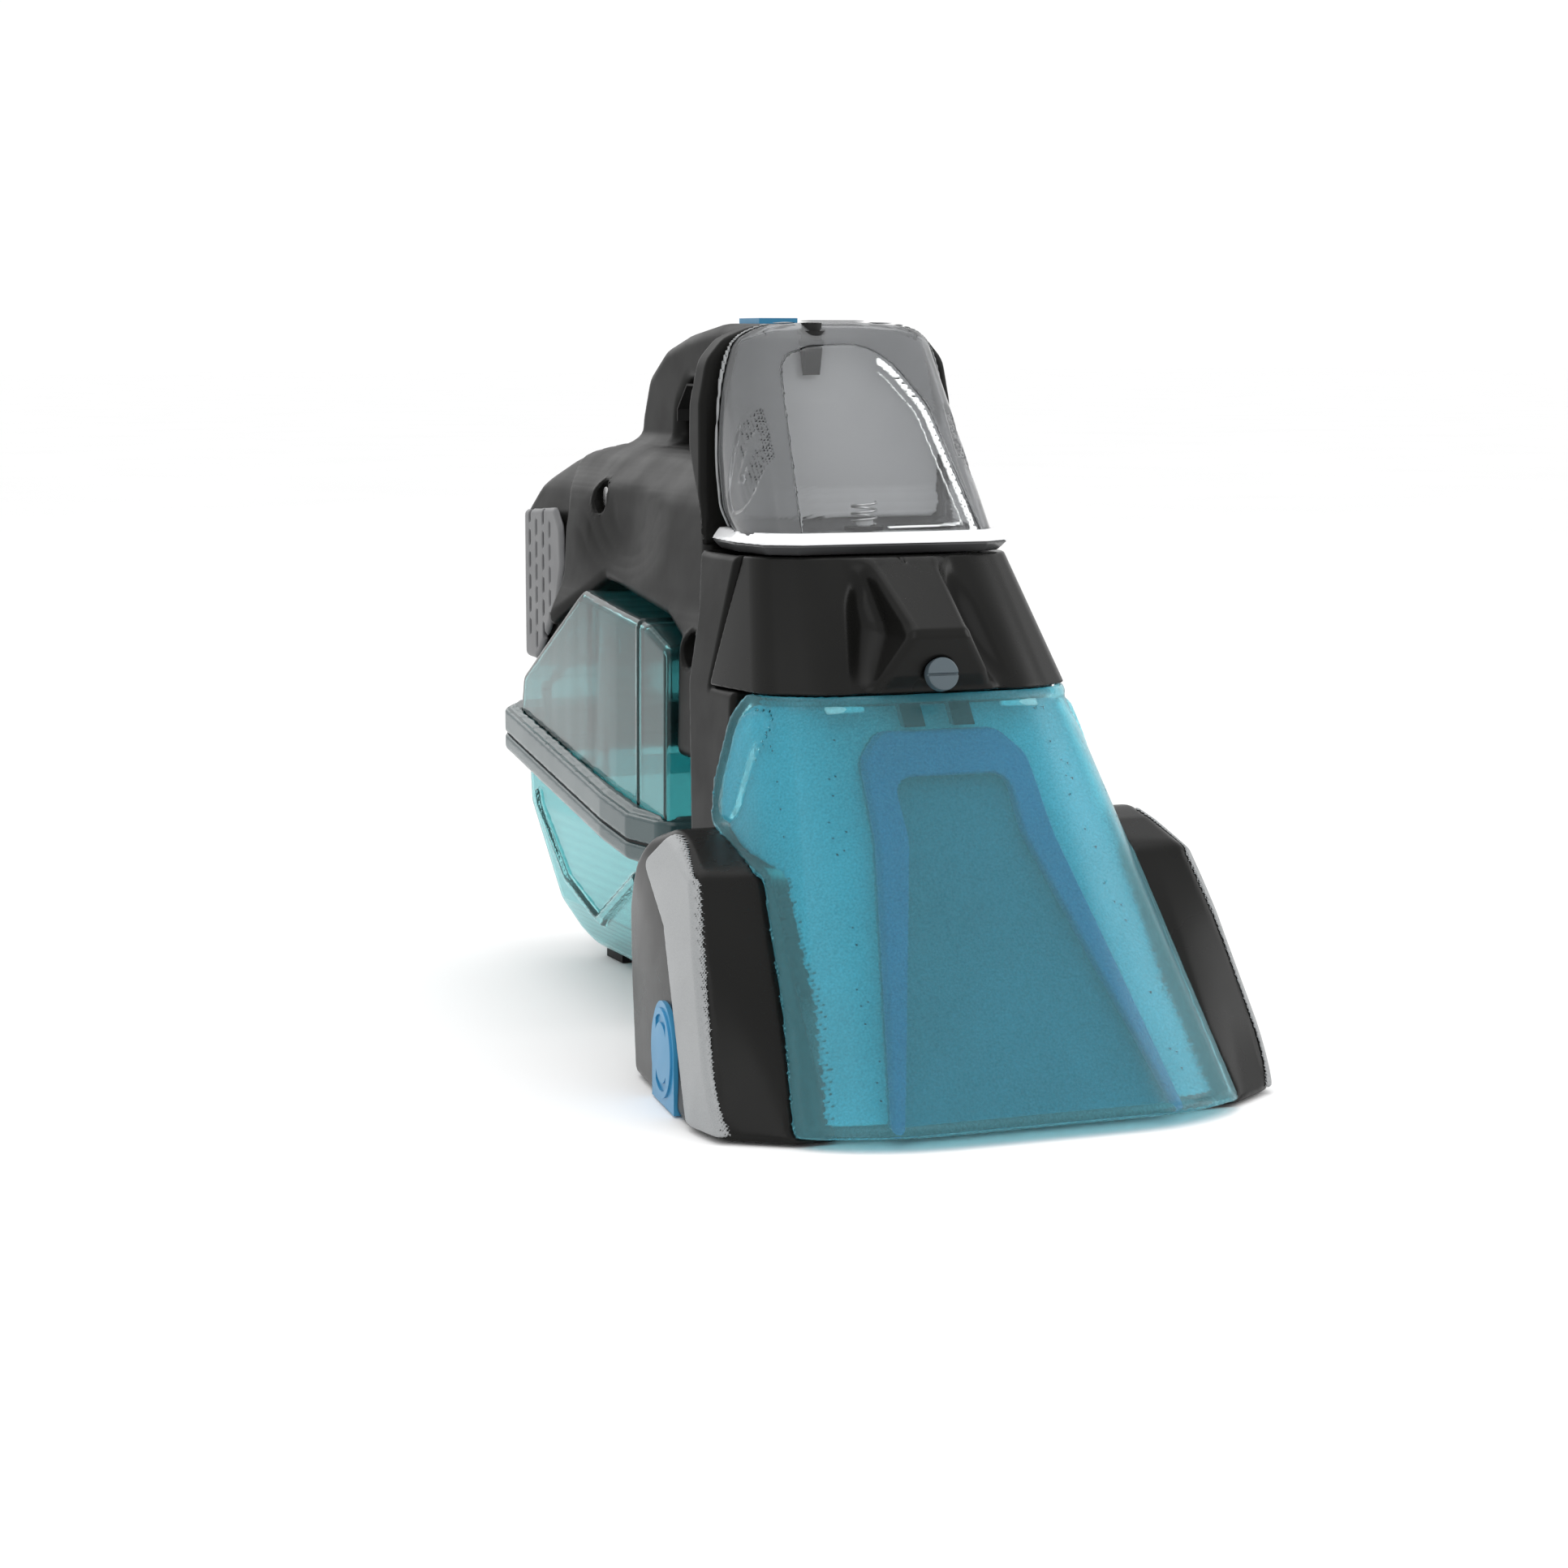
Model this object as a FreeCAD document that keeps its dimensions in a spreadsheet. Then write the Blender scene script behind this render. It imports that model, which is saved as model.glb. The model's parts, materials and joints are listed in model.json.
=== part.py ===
"""Cordless spot cleaner for carpets: an assembly of separate pieces in one parametric document.

Outlines are drawn with y measured back from the front lip and z up from the floor. Every piece is then
placed so that the origin is at the middle of the machine's footprint, on the floor.
"""

import FreeCAD, Part
import os
import re

import Sketcher

VECTOR = FreeCAD.Vector
ROTATION = FreeCAD.Rotation
UPRIGHT = ROTATION()
ALONG_X = ROTATION(VECTOR(0, 1, 0), 90)
ALONG_Y = ROTATION(VECTOR(1, 0, 0), -90)

doc = FreeCAD.newDocument("spot_cleaner")
dims = doc.addObject("Spreadsheet::Sheet", "Dims")
aliases = []
nodes = []


# ---------------------------------------------------------------- driving dimensions

def dim(alias, amount, note=""):
    """Add one driving dimension to the sheet."""
    row = len(aliases) + 1
    aliases.append(alias)
    dims.set(f"A{row}", alias)
    dims.set(f"B{row}", str(amount))
    dims.set(f"C{row}", note)
    dims.setAlias(f"B{row}", alias)


dim("machine_length", 432, "front lip to rear cover")
dim("wall", 2.5, "moulded wall")
dim("clearance", 0.4, "between pieces that come apart")
dim("running", 0.05, "radial clearance of a pin or shaft")

dim("nose_slope", 0.7, "how far the front face goes back per unit of height")
dim("lip_height", 1.5, "underside of the nozzle above the floor")
dim("nozzle_top", 139.7, "upper edge of the suction nozzle")
dim("lip_half", 57, "half width of the flat front at the floor")
dim("channel_half", 51, "half width of the suction slot")
dim("channel_neck_half", 22, "half width of the channel at its neck")
dim("channel_neck_height", 92, "height of the channel's neck")
dim("channel_top_height", 118, "upper end of the channel")
dim("channel_depth", 9, "depth of the channel behind the clear shell, along y")
dim("frame_width", 11, "width of the raised frame beside the channel")
dim("nozzle_half_bottom", 86, "half width of the nozzle at the floor")
dim("nozzle_half_top", 60, "half width of the nozzle at its upper edge")

dim("cradle_height", 186.3, "seat of the clean tank")
dim("tank_back", 193.5, "rear wall of the clean tank")
dim("tank_step", 4.2, "how far the clean tank's back wall comes forward at its foot")
dim("tank_bottom", 190.3, "underside of the clean tank's clear shell")
dim("tank_half", 50, "half width of the clean tank")
dim("tank_front", 131.5, "front of the clean tank at its foot")
dim("tank_lean", 51.5, "how far the clean tank's front goes back towards its top")
dim("tank_top", 269.5, "top of the clean tank")
dim("tank_wall", 2.2, "wall of the clear shells")

dim("housing_half", 49, "half width of the motor housing")
dim("handle_half", 19, "half width of the handle")
dim("handle_top", 270, "top of the handle")
dim("deck_height", 223, "top of the housing under the handle")
dim("gap_front", 221, "front of the finger gap")
dim("gap_rear", 304, "rear of the finger gap")
dim("gap_top", 246, "underside of the grip")

dim("shoulder_half", 107, "half width over the brush housing at the floor")
dim("shoulder_top", 94, "top of the shoulders")
dim("shoulder_rear", 158, "rear of the shoulders")
dim("side_yaw", 8, "how far the side faces turn in towards the rear, degrees")
dim("trim_thick", 1.6, "thickness of the side trims")
dim("brush_y", 97, "brush axis behind the lip")
dim("brush_z", 21, "brush axis above the floor")
dim("bristle_radius", 20.5, "brush over its bristles")
dim("core_radius", 12, "brush core")
dim("motor_y_drive", 137, "brush motor axis behind the lip")
dim("motor_z_drive", 43, "brush motor axis above the floor")

dim("lid_half", 61, "half width of the dirty tank's lid")
dim("lid_front", 205.5, "front wall of the dirty tank")
dim("lid_rear", 408, "rear wall of the dirty tank")
dim("lid_peak", 163.5, "highest point of the dirty tank")
dim("flange_half", 68, "half width over the dirty tank's flange")
dim("flange_height", 73, "joint between lid and bowl at the front")
dim("flange_rise", 0.117, "how fast the joint rises towards the rear")
dim("bowl_half", 50, "half width of the bowl under the flange")
dim("keel_half", 27, "half width of the bowl's bottom")
dim("neck_half", 48, "half width of the inlet neck")
dim("duct_height", 22, "height of the suction duct")

dim("motor_radius", 22, "suction motor")
dim("motor_front", 276, "front of the suction motor behind the lip")
dim("motor_z", 192.5, "suction motor axis above the floor")
dim("cell_radius", 9.2, "battery cell")
dim("cell_length", 65, "battery cell")
dim("screw_radius", 2, "housing screw shank")
dim("recess_radius", 6.4, "recess of a housing screw")
doc.recompute()


def on_sheet(text):
    """Point the dimension names in an expression at the sheet."""
    return re.sub(r"[a-z_]{4,}", lambda word: f"Dims.{word.group()}" if word.group() in aliases
                  else word.group(), str(text))


def worth(text):
    """The number that an expression stands for now."""
    return float(dims.evalExpression(on_sheet(text)))


def bind(thing, **sizes):
    """Bind properties of an object to expressions over the sheet."""
    for name, text in sizes.items():
        thing.setExpression(name.replace("__", "."), on_sheet(text))


# ---------------------------------------------------------------- building helpers

def place(thing, at, turn=UPRIGHT):
    """Turn an object and bind its position."""
    thing.Placement = FreeCAD.Placement(VECTOR(*(worth(part) for part in at)), turn)
    for axis, part in zip("xyz", at):
        thing.setExpression(f"Placement.Base.{axis}", on_sheet(part))
    return thing


def box(name, low, size):
    """A box from its lowest corner and its size."""
    thing = doc.addObject("Part::Box", name)
    bind(thing, Length=size[0], Width=size[1], Height=size[2])
    return place(thing, low)


def middle_box(name, half, low, size):
    """A box that is symmetric about x = 0; low and size are in y and z."""
    return box(name, (f"-({half})", *low), (f"2 * ({half})", *size))


def cylinder(name, radius, length, at, turn=UPRIGHT):
    """A cylinder from the middle of its base."""
    thing = doc.addObject("Part::Cylinder", name)
    bind(thing, Radius=radius, Height=length)
    return place(thing, at, turn)


def ring(name, outer, inner, length, at, turn=UPRIGHT):
    """A plain ring or tube."""
    return cut(name, cylinder(name + "_outside", outer, length, at, turn),
               cylinder(name + "_bore", inner, length, at, turn))


def cut(name, base, *tools):
    """Subtract solids from a solid."""
    for count, tool in enumerate(tools, 1):
        thing = doc.addObject("Part::Cut", name if count == len(tools) else f"{name}_cut_{count}")
        thing.Base, thing.Tool = base, tool
        base = thing
    return base


def fuse(name, *pieces):
    """Join solids that touch or overlap."""
    thing = doc.addObject("Part::MultiFuse", name)
    thing.Shapes = list(pieces)
    thing.Refine = True
    return thing


def common(name, *pieces):
    """The space that all the solids share."""
    thing = doc.addObject("Part::MultiCommon", name)
    thing.Shapes = list(pieces)
    return thing


def group(name, pieces):
    """Several loose solids in one node."""
    thing = doc.addObject("Part::Compound", name)
    thing.Links = list(pieces)
    return thing


def shrunk(name, base, amount):
    """A solid whose faces all lie inside the base by an amount."""
    thing = doc.addObject("Part::Offset", name)
    thing.Source = base
    thing.Join = 2
    bind(thing, Value=f"-({amount})")
    return thing


def closed_outline(sketch, points):
    """Draw a closed outline whose corners are bound to expressions."""
    first = sketch.GeometryCount
    corners = [VECTOR(worth(across), worth(along), 0) for across, along in points]
    total = len(corners)
    for index in range(total):
        sketch.addGeometry(Part.LineSegment(corners[index], corners[(index + 1) % total]), False)
    for index in range(total):
        line = first + index
        sketch.addConstraint(Sketcher.Constraint("Coincident", line, 2, first + (index + 1) % total, 1))
        for kind, text, spot in (("DistanceX", points[index][0], corners[index].x),
                                 ("DistanceY", points[index][1], corners[index].y)):
            number = sketch.addConstraint(Sketcher.Constraint(kind, -1, 1, line, 1, spot))
            sketch.setExpression(f"Constraints[{number}]", on_sheet(text))


def sketch_on(body, role, name, *outlines):
    """A sketch on one of the body's own origin planes."""
    sketch = body.newObject("Sketcher::SketchObject", name)
    plane = [item for item in body.Origin.OriginFeatures if item.Role == role][0]
    sketch.AttachmentSupport = [(plane, "")]
    sketch.MapMode = "FlatFace"
    for points in outlines:
        closed_outline(sketch, points)
    return sketch


def both_ways(points):
    """Mirror the right half of an outline about its vertical axis."""
    return list(points) + [(f"-({across})", along) for across, along in reversed(points)]


def frame_around(reach=700):
    """A large square, so that a pocket keeps only what is inside the other outline."""
    return [(-reach, -reach), (reach, -reach), (reach, reach), (-reach, reach)]


def profile(name, half, side, front=None, plan=None):
    """A body padded from its side outline and trimmed to its front and plan outlines."""
    body = doc.addObject("PartDesign::Body", name)
    pad = body.newObject("PartDesign::Pad", name + "_pad")
    pad.Profile = sketch_on(body, "YZ_Plane", name + "_side", side)
    pad.Midplane = True
    bind(pad, Length=f"2 * ({half})")
    body.Tip = pad
    for role, outline in (("XZ_Plane", front), ("XY_Plane", plan)):
        if outline:
            trim = body.newObject("PartDesign::Pocket", f"{name}_{role[:2].lower()}_trim")
            trim.Profile = sketch_on(body, role, f"{name}_{role[:2].lower()}", frame_around(), outline)
            trim.Type = "ThroughAll"
            trim.Midplane = True
            body.Tip = trim
    return body


def loft(name, *sections):
    """A solid with straight faces between level outlines, each given as its height and its points."""
    rings = []
    for count, (height, points) in enumerate(sections):
        section = doc.addObject("Sketcher::SketchObject", f"{name}_level_{count}")
        closed_outline(section, points)
        rings.append(place(section, (0, 0, height)))
    thing = doc.addObject("Part::Loft", name)
    thing.Sections = rings
    thing.Solid = True
    thing.Ruled = True
    return thing


def cross_loft(name, *sections):
    """A solid with straight faces between upright outlines, each given as its y and its points."""
    rings = []
    for count, (back, points) in enumerate(sections):
        section = doc.addObject("Sketcher::SketchObject", f"{name}_station_{count}")
        closed_outline(section, points)
        rings.append(place(section, (0, back, 0), ROTATION(VECTOR(1, 0, 0), 90)))
    thing = doc.addObject("Part::Loft", name)
    thing.Sections = rings
    thing.Solid = True
    thing.Ruled = True
    return thing


def node(label, thing):
    """Name a finished piece and centre it on the origin."""
    thing.Label = label
    bound = [text for path, text in thing.ExpressionEngine if path.strip(".") == "Placement.Base.y"]
    start = bound[0] if bound else "0"
    thing.setExpression("Placement.Base.y", f"({start}) - Dims.machine_length / 2")
    nodes.append(thing)
    return thing


def nose(offset, height):
    """How far back the sloping front face is at a height, moved back by an offset."""
    return f"nose_slope * (({height}) - lip_height) + ({offset})"


def nose_slab(name, half, near, far, low, high, front=None):
    """A slab parallel to the sloping front face, between two distances behind it."""
    side = [(nose(near, low), low), (nose(far, low), low), (nose(far, high), high), (nose(near, high), high)]
    return profile(name, half, side, front)


# ---------------------------------------------------------------- suction nozzle

def nozzle_outline(inset, depth, back, height):
    """Half of the nozzle's level outline, inset by a wall: lip, front corner, side and open back."""
    low = height == "bottom"
    lip, corner = ("lip_half", "nozzle_half_bottom") if low else ("lip_half - 16", "nozzle_half_top")
    front = 0 if low else nose(0, "nozzle_top")
    setback = 21 if low else 14.5
    return both_ways([(f"{lip} - ({inset})", f"{front} + ({depth})"),
                      (f"{corner} - ({inset})", f"{front} + {setback} + ({depth}) * 0.5"),
                      (f"{corner} + 6 - ({inset})", f"{front} + {setback} + {back}")])


def nozzle_side(name, back):
    """Side outline of the nozzle, with its rear edge moved back."""
    return profile(name, 120, [
        (-10, "lip_height"), (24 + back, "lip_height"), (73 + back, 41), (89 + back, 78),
        (103 + back, 86 - back),
        (122 + back, 95 - back), (127 + back, 108), (128 + back, 131), (121 + back, "nozzle_top"),
        (-10, "nozzle_top")])


def suction_nozzle():
    """Clear front shell that wraps round the sides, the channel behind it and its seal."""
    outside = loft("nozzle_outside",
                   ("lip_height", nozzle_outline(0, 0, 40, "bottom")),
                   ("nozzle_top", nozzle_outline(0, 0, 40, "top")))
    inside = loft("nozzle_inside",
                  ("lip_height", nozzle_outline("wall", "wall * 1.22", 90, "bottom")),
                  ("nozzle_top", nozzle_outline("wall", "wall * 1.22", 90, "top")))
    node("suction_nozzle", cut("nozzle_shell",
                               common("nozzle_trimmed", outside, nozzle_side("nozzle_side", 0)),
                               inside))

    near = "wall * 1.22 + 0.05"
    far = "wall * 1.22 + channel_depth + wall"
    edge = both_ways([("lip_half - 2.8", "lip_height"),
                      ("channel_neck_half + frame_width", "channel_neck_height"),
                      ("channel_neck_half + 8", "channel_top_height"),
                      ("channel_neck_half", "channel_top_height + 9")])
    hollow = both_ways([("channel_half", "-5"), ("channel_half", "lip_height"),
                        ("channel_neck_half", "channel_neck_height"),
                        ("channel_neck_half", "channel_top_height")])
    block = nose_slab("channel_block", 90, near, far, "lip_height", "channel_top_height + 9", edge)
    space = nose_slab("channel_space", 90, "0", "wall * 1.22 + channel_depth", "-2", "channel_top_height",
                      hollow)
    outlet = nose_slab("channel_outlet", "channel_neck_half - 2", "5", "30", "channel_neck_height + 5",
                       "channel_top_height - 1")
    node("nozzle_channel", cut("channel_frame", block, space, outlet))

    seal = nose_slab("seal_block", "channel_neck_half + 3", f"{far}", f"{far} + 3", "channel_neck_height",
                     "channel_top_height + 4")
    bore = nose_slab("seal_bore", "channel_neck_half - 1", "5", "30", "channel_neck_height + 4",
                     "channel_top_height")
    node("nozzle_seal", cut("seal_ring", seal, bore))
    bar = nose_slab("latch_bar", 13.5, near, "wall * 1.22 + 4", 128.5, 136.5)
    node("nozzle_latch_tabs", cut("latch_tabs", bar, middle_box("latch_gap", 5.5, (80, 120), (40, 30))))


# ---------------------------------------------------------------- front housing and cradle

def front_housing():
    """Sloping cover over the pump, with the brow over the spray tip."""
    low, high = "nozzle_top + clearance", "cradle_height"
    outside = loft("front_outside",
                   (low, both_ways([("lip_half - 16", f"{nose(0.4, low)}"), ("nozzle_half_top", 111.5),
                                    ("nozzle_half_top + 4", 129.5), ("nozzle_half_top + 4", 151.6)])),
                   (high, both_ways([("38", f"{nose(0.4, high)}"), ("49", 139.5), ("55", 150),
                                     ("55", 151.6)])))
    inside = loft("front_inside",
                  (low, both_ways([("lip_half - 18", f"{nose(4.6, low)}"), ("nozzle_half_top - 3", 115),
                                   ("nozzle_half_top + 1", 131), ("nozzle_half_top + 1", 170)])),
                  ("cradle_height - wall", both_ways([("36", f"{nose(3.4, high)}"), ("46.5", 141),
                                                      ("52", 150), ("52", 170)])))
    brow = profile("brow", 30, [(121, 182), (90, 163), (89, 160), (92.5, 147), (96, low), (150, low),
                                (150, 182)],
                   both_ways([("28", low), ("13", 160), ("11", 163), ("15", 182)]))
    socket = cylinder("spray_socket", 6.3, 30, (0, 80, 145.7), ROTATION(VECTOR(1, 0, 0), -78))
    cover = fuse("front_with_brow", cut("front_shell", outside, inside), cut("brow_front", brow, inside))
    node("front_housing", cut("front_cover", cover, brow_hollow(), socket))
    tip = cylinder("tip_disc", 5.9, 4, (0, 88.5, 147.5), ROTATION(VECTOR(1, 0, 0), -78))
    stem = cylinder("tip_stem", 3.5, 16, (0, 90, 147), ROTATION(VECTOR(1, 0, 0), -78))
    node("spray_tip", fuse("tip", tip, stem))


def brow_hollow():
    """Room behind the brow for the spray tip's stem."""
    return profile("brow_hollow", 9, [(97, 157), (99, 139), (160, 139), (160, 172), (121, 172)])


def front_frame():
    """Tower behind the clean tank: cradle floor, back plate and the pillars that run down to the brush."""
    block = profile("frame_block", 80, [
        (104, 78), (104.5, 84.8), (123, 93.8), (128.6, 108), (129.2, "nozzle_top"), (152, "nozzle_top"),
        (152, "cradle_height"),
        ("tank_back - tank_step + clearance", "cradle_height"), ("tank_back + clearance", 206),
        ("tank_back + clearance", "handle_top - 0.5"),
        (206, "handle_top - 0.5"), (208, "deck_height"), (179, 163), (165, 78)],
        both_ways([("nozzle_half_top + 6.5", 78), ("62", "nozzle_top"), ("56", "cradle_height"),
                   ("tank_half + 1", 196),
                   ("tank_half + 1", 240), ("48", 256), ("41", 264), ("26", "handle_top")]))
    core = profile("frame_core", 80, [
        ("108", "78 + wall"), ("123 + wall", "94 + wall"), ("129.5 + wall", "nozzle_top - wall"),
        ("152 + wall", "nozzle_top - wall"),
        ("152 + wall", "cradle_height - wall"), (188, "cradle_height - wall"),
        ("179 - wall", 163), ("165 - wall", "78 + wall")],
        both_ways([("nozzle_half_top + 6.5 - wall", 78), ("62 - wall", "nozzle_top"),
                   ("56 - wall", "cradle_height")]))
    tower_front = "tank_back + clearance + wall"
    tower_core = profile("tower_core", 80, [
        (tower_front, 206), (197.4, 206), (203.5, "deck_height - 2"), (203, 262), (tower_front, 262)],
        both_ways([("tank_half - 2", 206), ("tank_half - 2", 238), ("44", 253), ("30", 262)]))
    duct_way = duct_loop("duct_way", -0.5, 4)
    seal_way = middle_box("seal_way", "neck_half + 1.3", (160, 82.2), (20, "duct_height + 3.6"))
    valve_way = cylinder("valve_way", 8.5, 20, (0, 160, 180))
    tube_way = middle_box("tube_way", 14, (140, 150), (20, 24))
    rear_way = middle_box("rear_way", 30, (170, 196), (60, 18))
    node("front_frame", cut("frame_shell", block, core, tower_core, duct_way, seal_way, valve_way, tube_way,
                            rear_way))


def duct_loop(name, inset, stretch):
    """The suction duct's outline, drawn in by an amount and stretched past both ends."""
    stations = []
    for step, (back, half, low, high) in enumerate([
            ("78", "channel_neck_half + 1", 96, 123), ("110", "channel_neck_half + 3", 93, 117),
            ("171", "neck_half", 84, "84 + duct_height")]):
        stations.append((f"{back} + {(step - 1) * stretch}", [
            (f"-({half} - {inset})", f"{low} + {inset}"), (f"{half} - {inset}", f"{low} + {inset}"),
            (f"{half} - {inset}", f"{high} - {inset}"), (f"-({half} - {inset})", f"{high} - {inset}")]))
    return cross_loft(name, *stations)


def suction_duct():
    """Duct from the nozzle's channel to the mouth of the dirty tank."""
    seat = nose_slab("duct_seat", 80, "-60", "wall * 1.22 + channel_depth + wall + 3 + clearance", 60, 160)
    node("suction_duct", cut("duct", duct_loop("duct_outside", 0, 0), duct_loop("duct_inside", 1.8, 1), seat))
    lip = middle_box("inlet_seal_block", "neck_half + 1", (171.2, 82.5), (3, "duct_height + 3"))
    bore = middle_box("inlet_seal_bore", "neck_half - 2", (160, 86), (30, "duct_height - 4"))
    node("inlet_seal", cut("inlet_seal_ring", lip, bore))


# ---------------------------------------------------------------- clean tank

def clean_tank():
    """Clear tank with its bezel, vent, outlet valve and filler cap."""
    def level(inset, back):
        """Level outline of the tank: flat front, corner facets and flat sides."""
        return both_ways([(f"36 - {back} / 7 - {inset}", f"tank_front + {back} + {inset} * 1.2"),
                          (f"47.5 - {back} / 7 - {inset}", f"tank_front + 7.5 + {back} + {inset}"),
                          (f"tank_half - {inset}", f"tank_front + 31 + {back} + {inset} * 0.3"),
                          (f"tank_half - {inset}", "tank_front + 96")])

    def tank_block(name, inset):
        """Wedge that carries on the nose slope, with a rounded top."""
        wedge = loft(f"{name}_wedge", ("tank_bottom - 2", level(inset, "0")),
                     ("tank_top + 1", level(inset, "tank_lean")))
        side = profile(f"{name}_side", 80, [
            (120, f"tank_bottom + {inset}"), (120, 243), (f"165 + {inset}", 243), (f"171.5 + {inset}", 256),
            (f"178 + {inset}", f"264.5 - {inset}"), (f"186 + {inset} * 0.3", f"tank_top - {inset}"),
            (f"tank_back - {inset}", f"tank_top - {inset}"), (f"tank_back - {inset}", 208),
            (f"tank_back - tank_step - {inset}", f"tank_bottom + {inset}")],
            both_ways([(f"tank_half - {inset}", "tank_bottom - 5"), (f"tank_half - {inset}", 243),
                       (f"46.5 - {inset}", 256), (f"39 - {inset}", f"265 - {inset}"),
                       (f"26 - {inset}", f"tank_top - {inset}")]))
        return common(name, wedge, side)

    outside = tank_block("tank_outside", 0)
    inside = tank_block("tank_inside", "tank_wall")
    outlet = cylinder("outlet_way", 7.2, 12, (0, 160, "tank_bottom - 4.3"))
    filler = cylinder("filler_way", 10.2, 12, (26, 166, "tank_bottom - 4.3"))
    vent = cylinder("vent_way", 5.3, 14, (-10, 186, 260))
    node("clean_tank", cut("tank_shell", outside, inside, outlet, filler, vent))

    foot, brim = "cradle_height + 0.5", "cradle_height + 8.4"
    back = "tank_back - tank_step"
    band = profile("bezel_block", 80, [
        (127, foot), (130.6, "cradle_height + 4.2"), (133, brim), (back, brim), (back, foot)], None,
        both_ways([("37", 130.5), ("48.6", 138.3), ("tank_half + 2", 165), ("tank_half + 2", "tank_back")]))
    node("tank_bezel", cut("bezel_band", band, outside,
                           cylinder("bezel_outlet_way", 8, 12, (0, 160, "cradle_height - 2")),
                           cylinder("bezel_filler_way", 12.6, 12, (26, 166, "cradle_height - 2"))))

    stem = cylinder("duckbill_stem", 3.8, 7, (-10, 186, 262.4))
    neck = cylinder("duckbill_neck", 4.6, 2, (-10, 186, 260.8))
    flange = cylinder("duckbill_flange", 5.1, 1.6, (-10, 186, 264.9))
    bill = profile("duckbill_bill", 40, [(183.2, 262.5), (185.4, 250), (186.6, 250), (188.8, 262.5)],
                   [(-13, 250), (-7, 250), (-6.5, 262.5), (-13.5, 262.5)])
    node("duckbill_valve", fuse("duckbill", stem, neck, flange, bill))

    collar = ring("outlet_collar", "7.15", "4", 8, (0, 160, "tank_bottom - 3.3"))
    seat = ring("outlet_seat_lip", "7.15", "2.4", 1.5, (0, 160, "tank_bottom + 3.2"))
    node("outlet_seat", fuse("outlet_seat_body", collar, seat))
    head = cylinder("plunger_head", 3.4, 1.6, (0, 160, "tank_bottom + 5.3"))
    rod = cylinder("plunger_rod", "2.4 - running", 9.7, (0, 160, "tank_bottom - 4.3"))
    node("outlet_plunger", fuse("plunger", head, rod))
    node("outlet_spring", ring("outlet_spring_coil", 5.2, 3.8, 9, (0, 160, "tank_bottom + 5")))
    cap = cylinder("cap_head", 11.8, 2.2, (26, 166, "tank_bottom - 2.3"))
    plug = cylinder("cap_plug", 10, 6, (26, 166, "tank_bottom - 1.3"))
    node("fill_cap", fuse("cap", cap, plug))


# ---------------------------------------------------------------- motor housing and handle

SCREW_PLACES = [(327, 200, 43), (193, 149, 52)]


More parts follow.
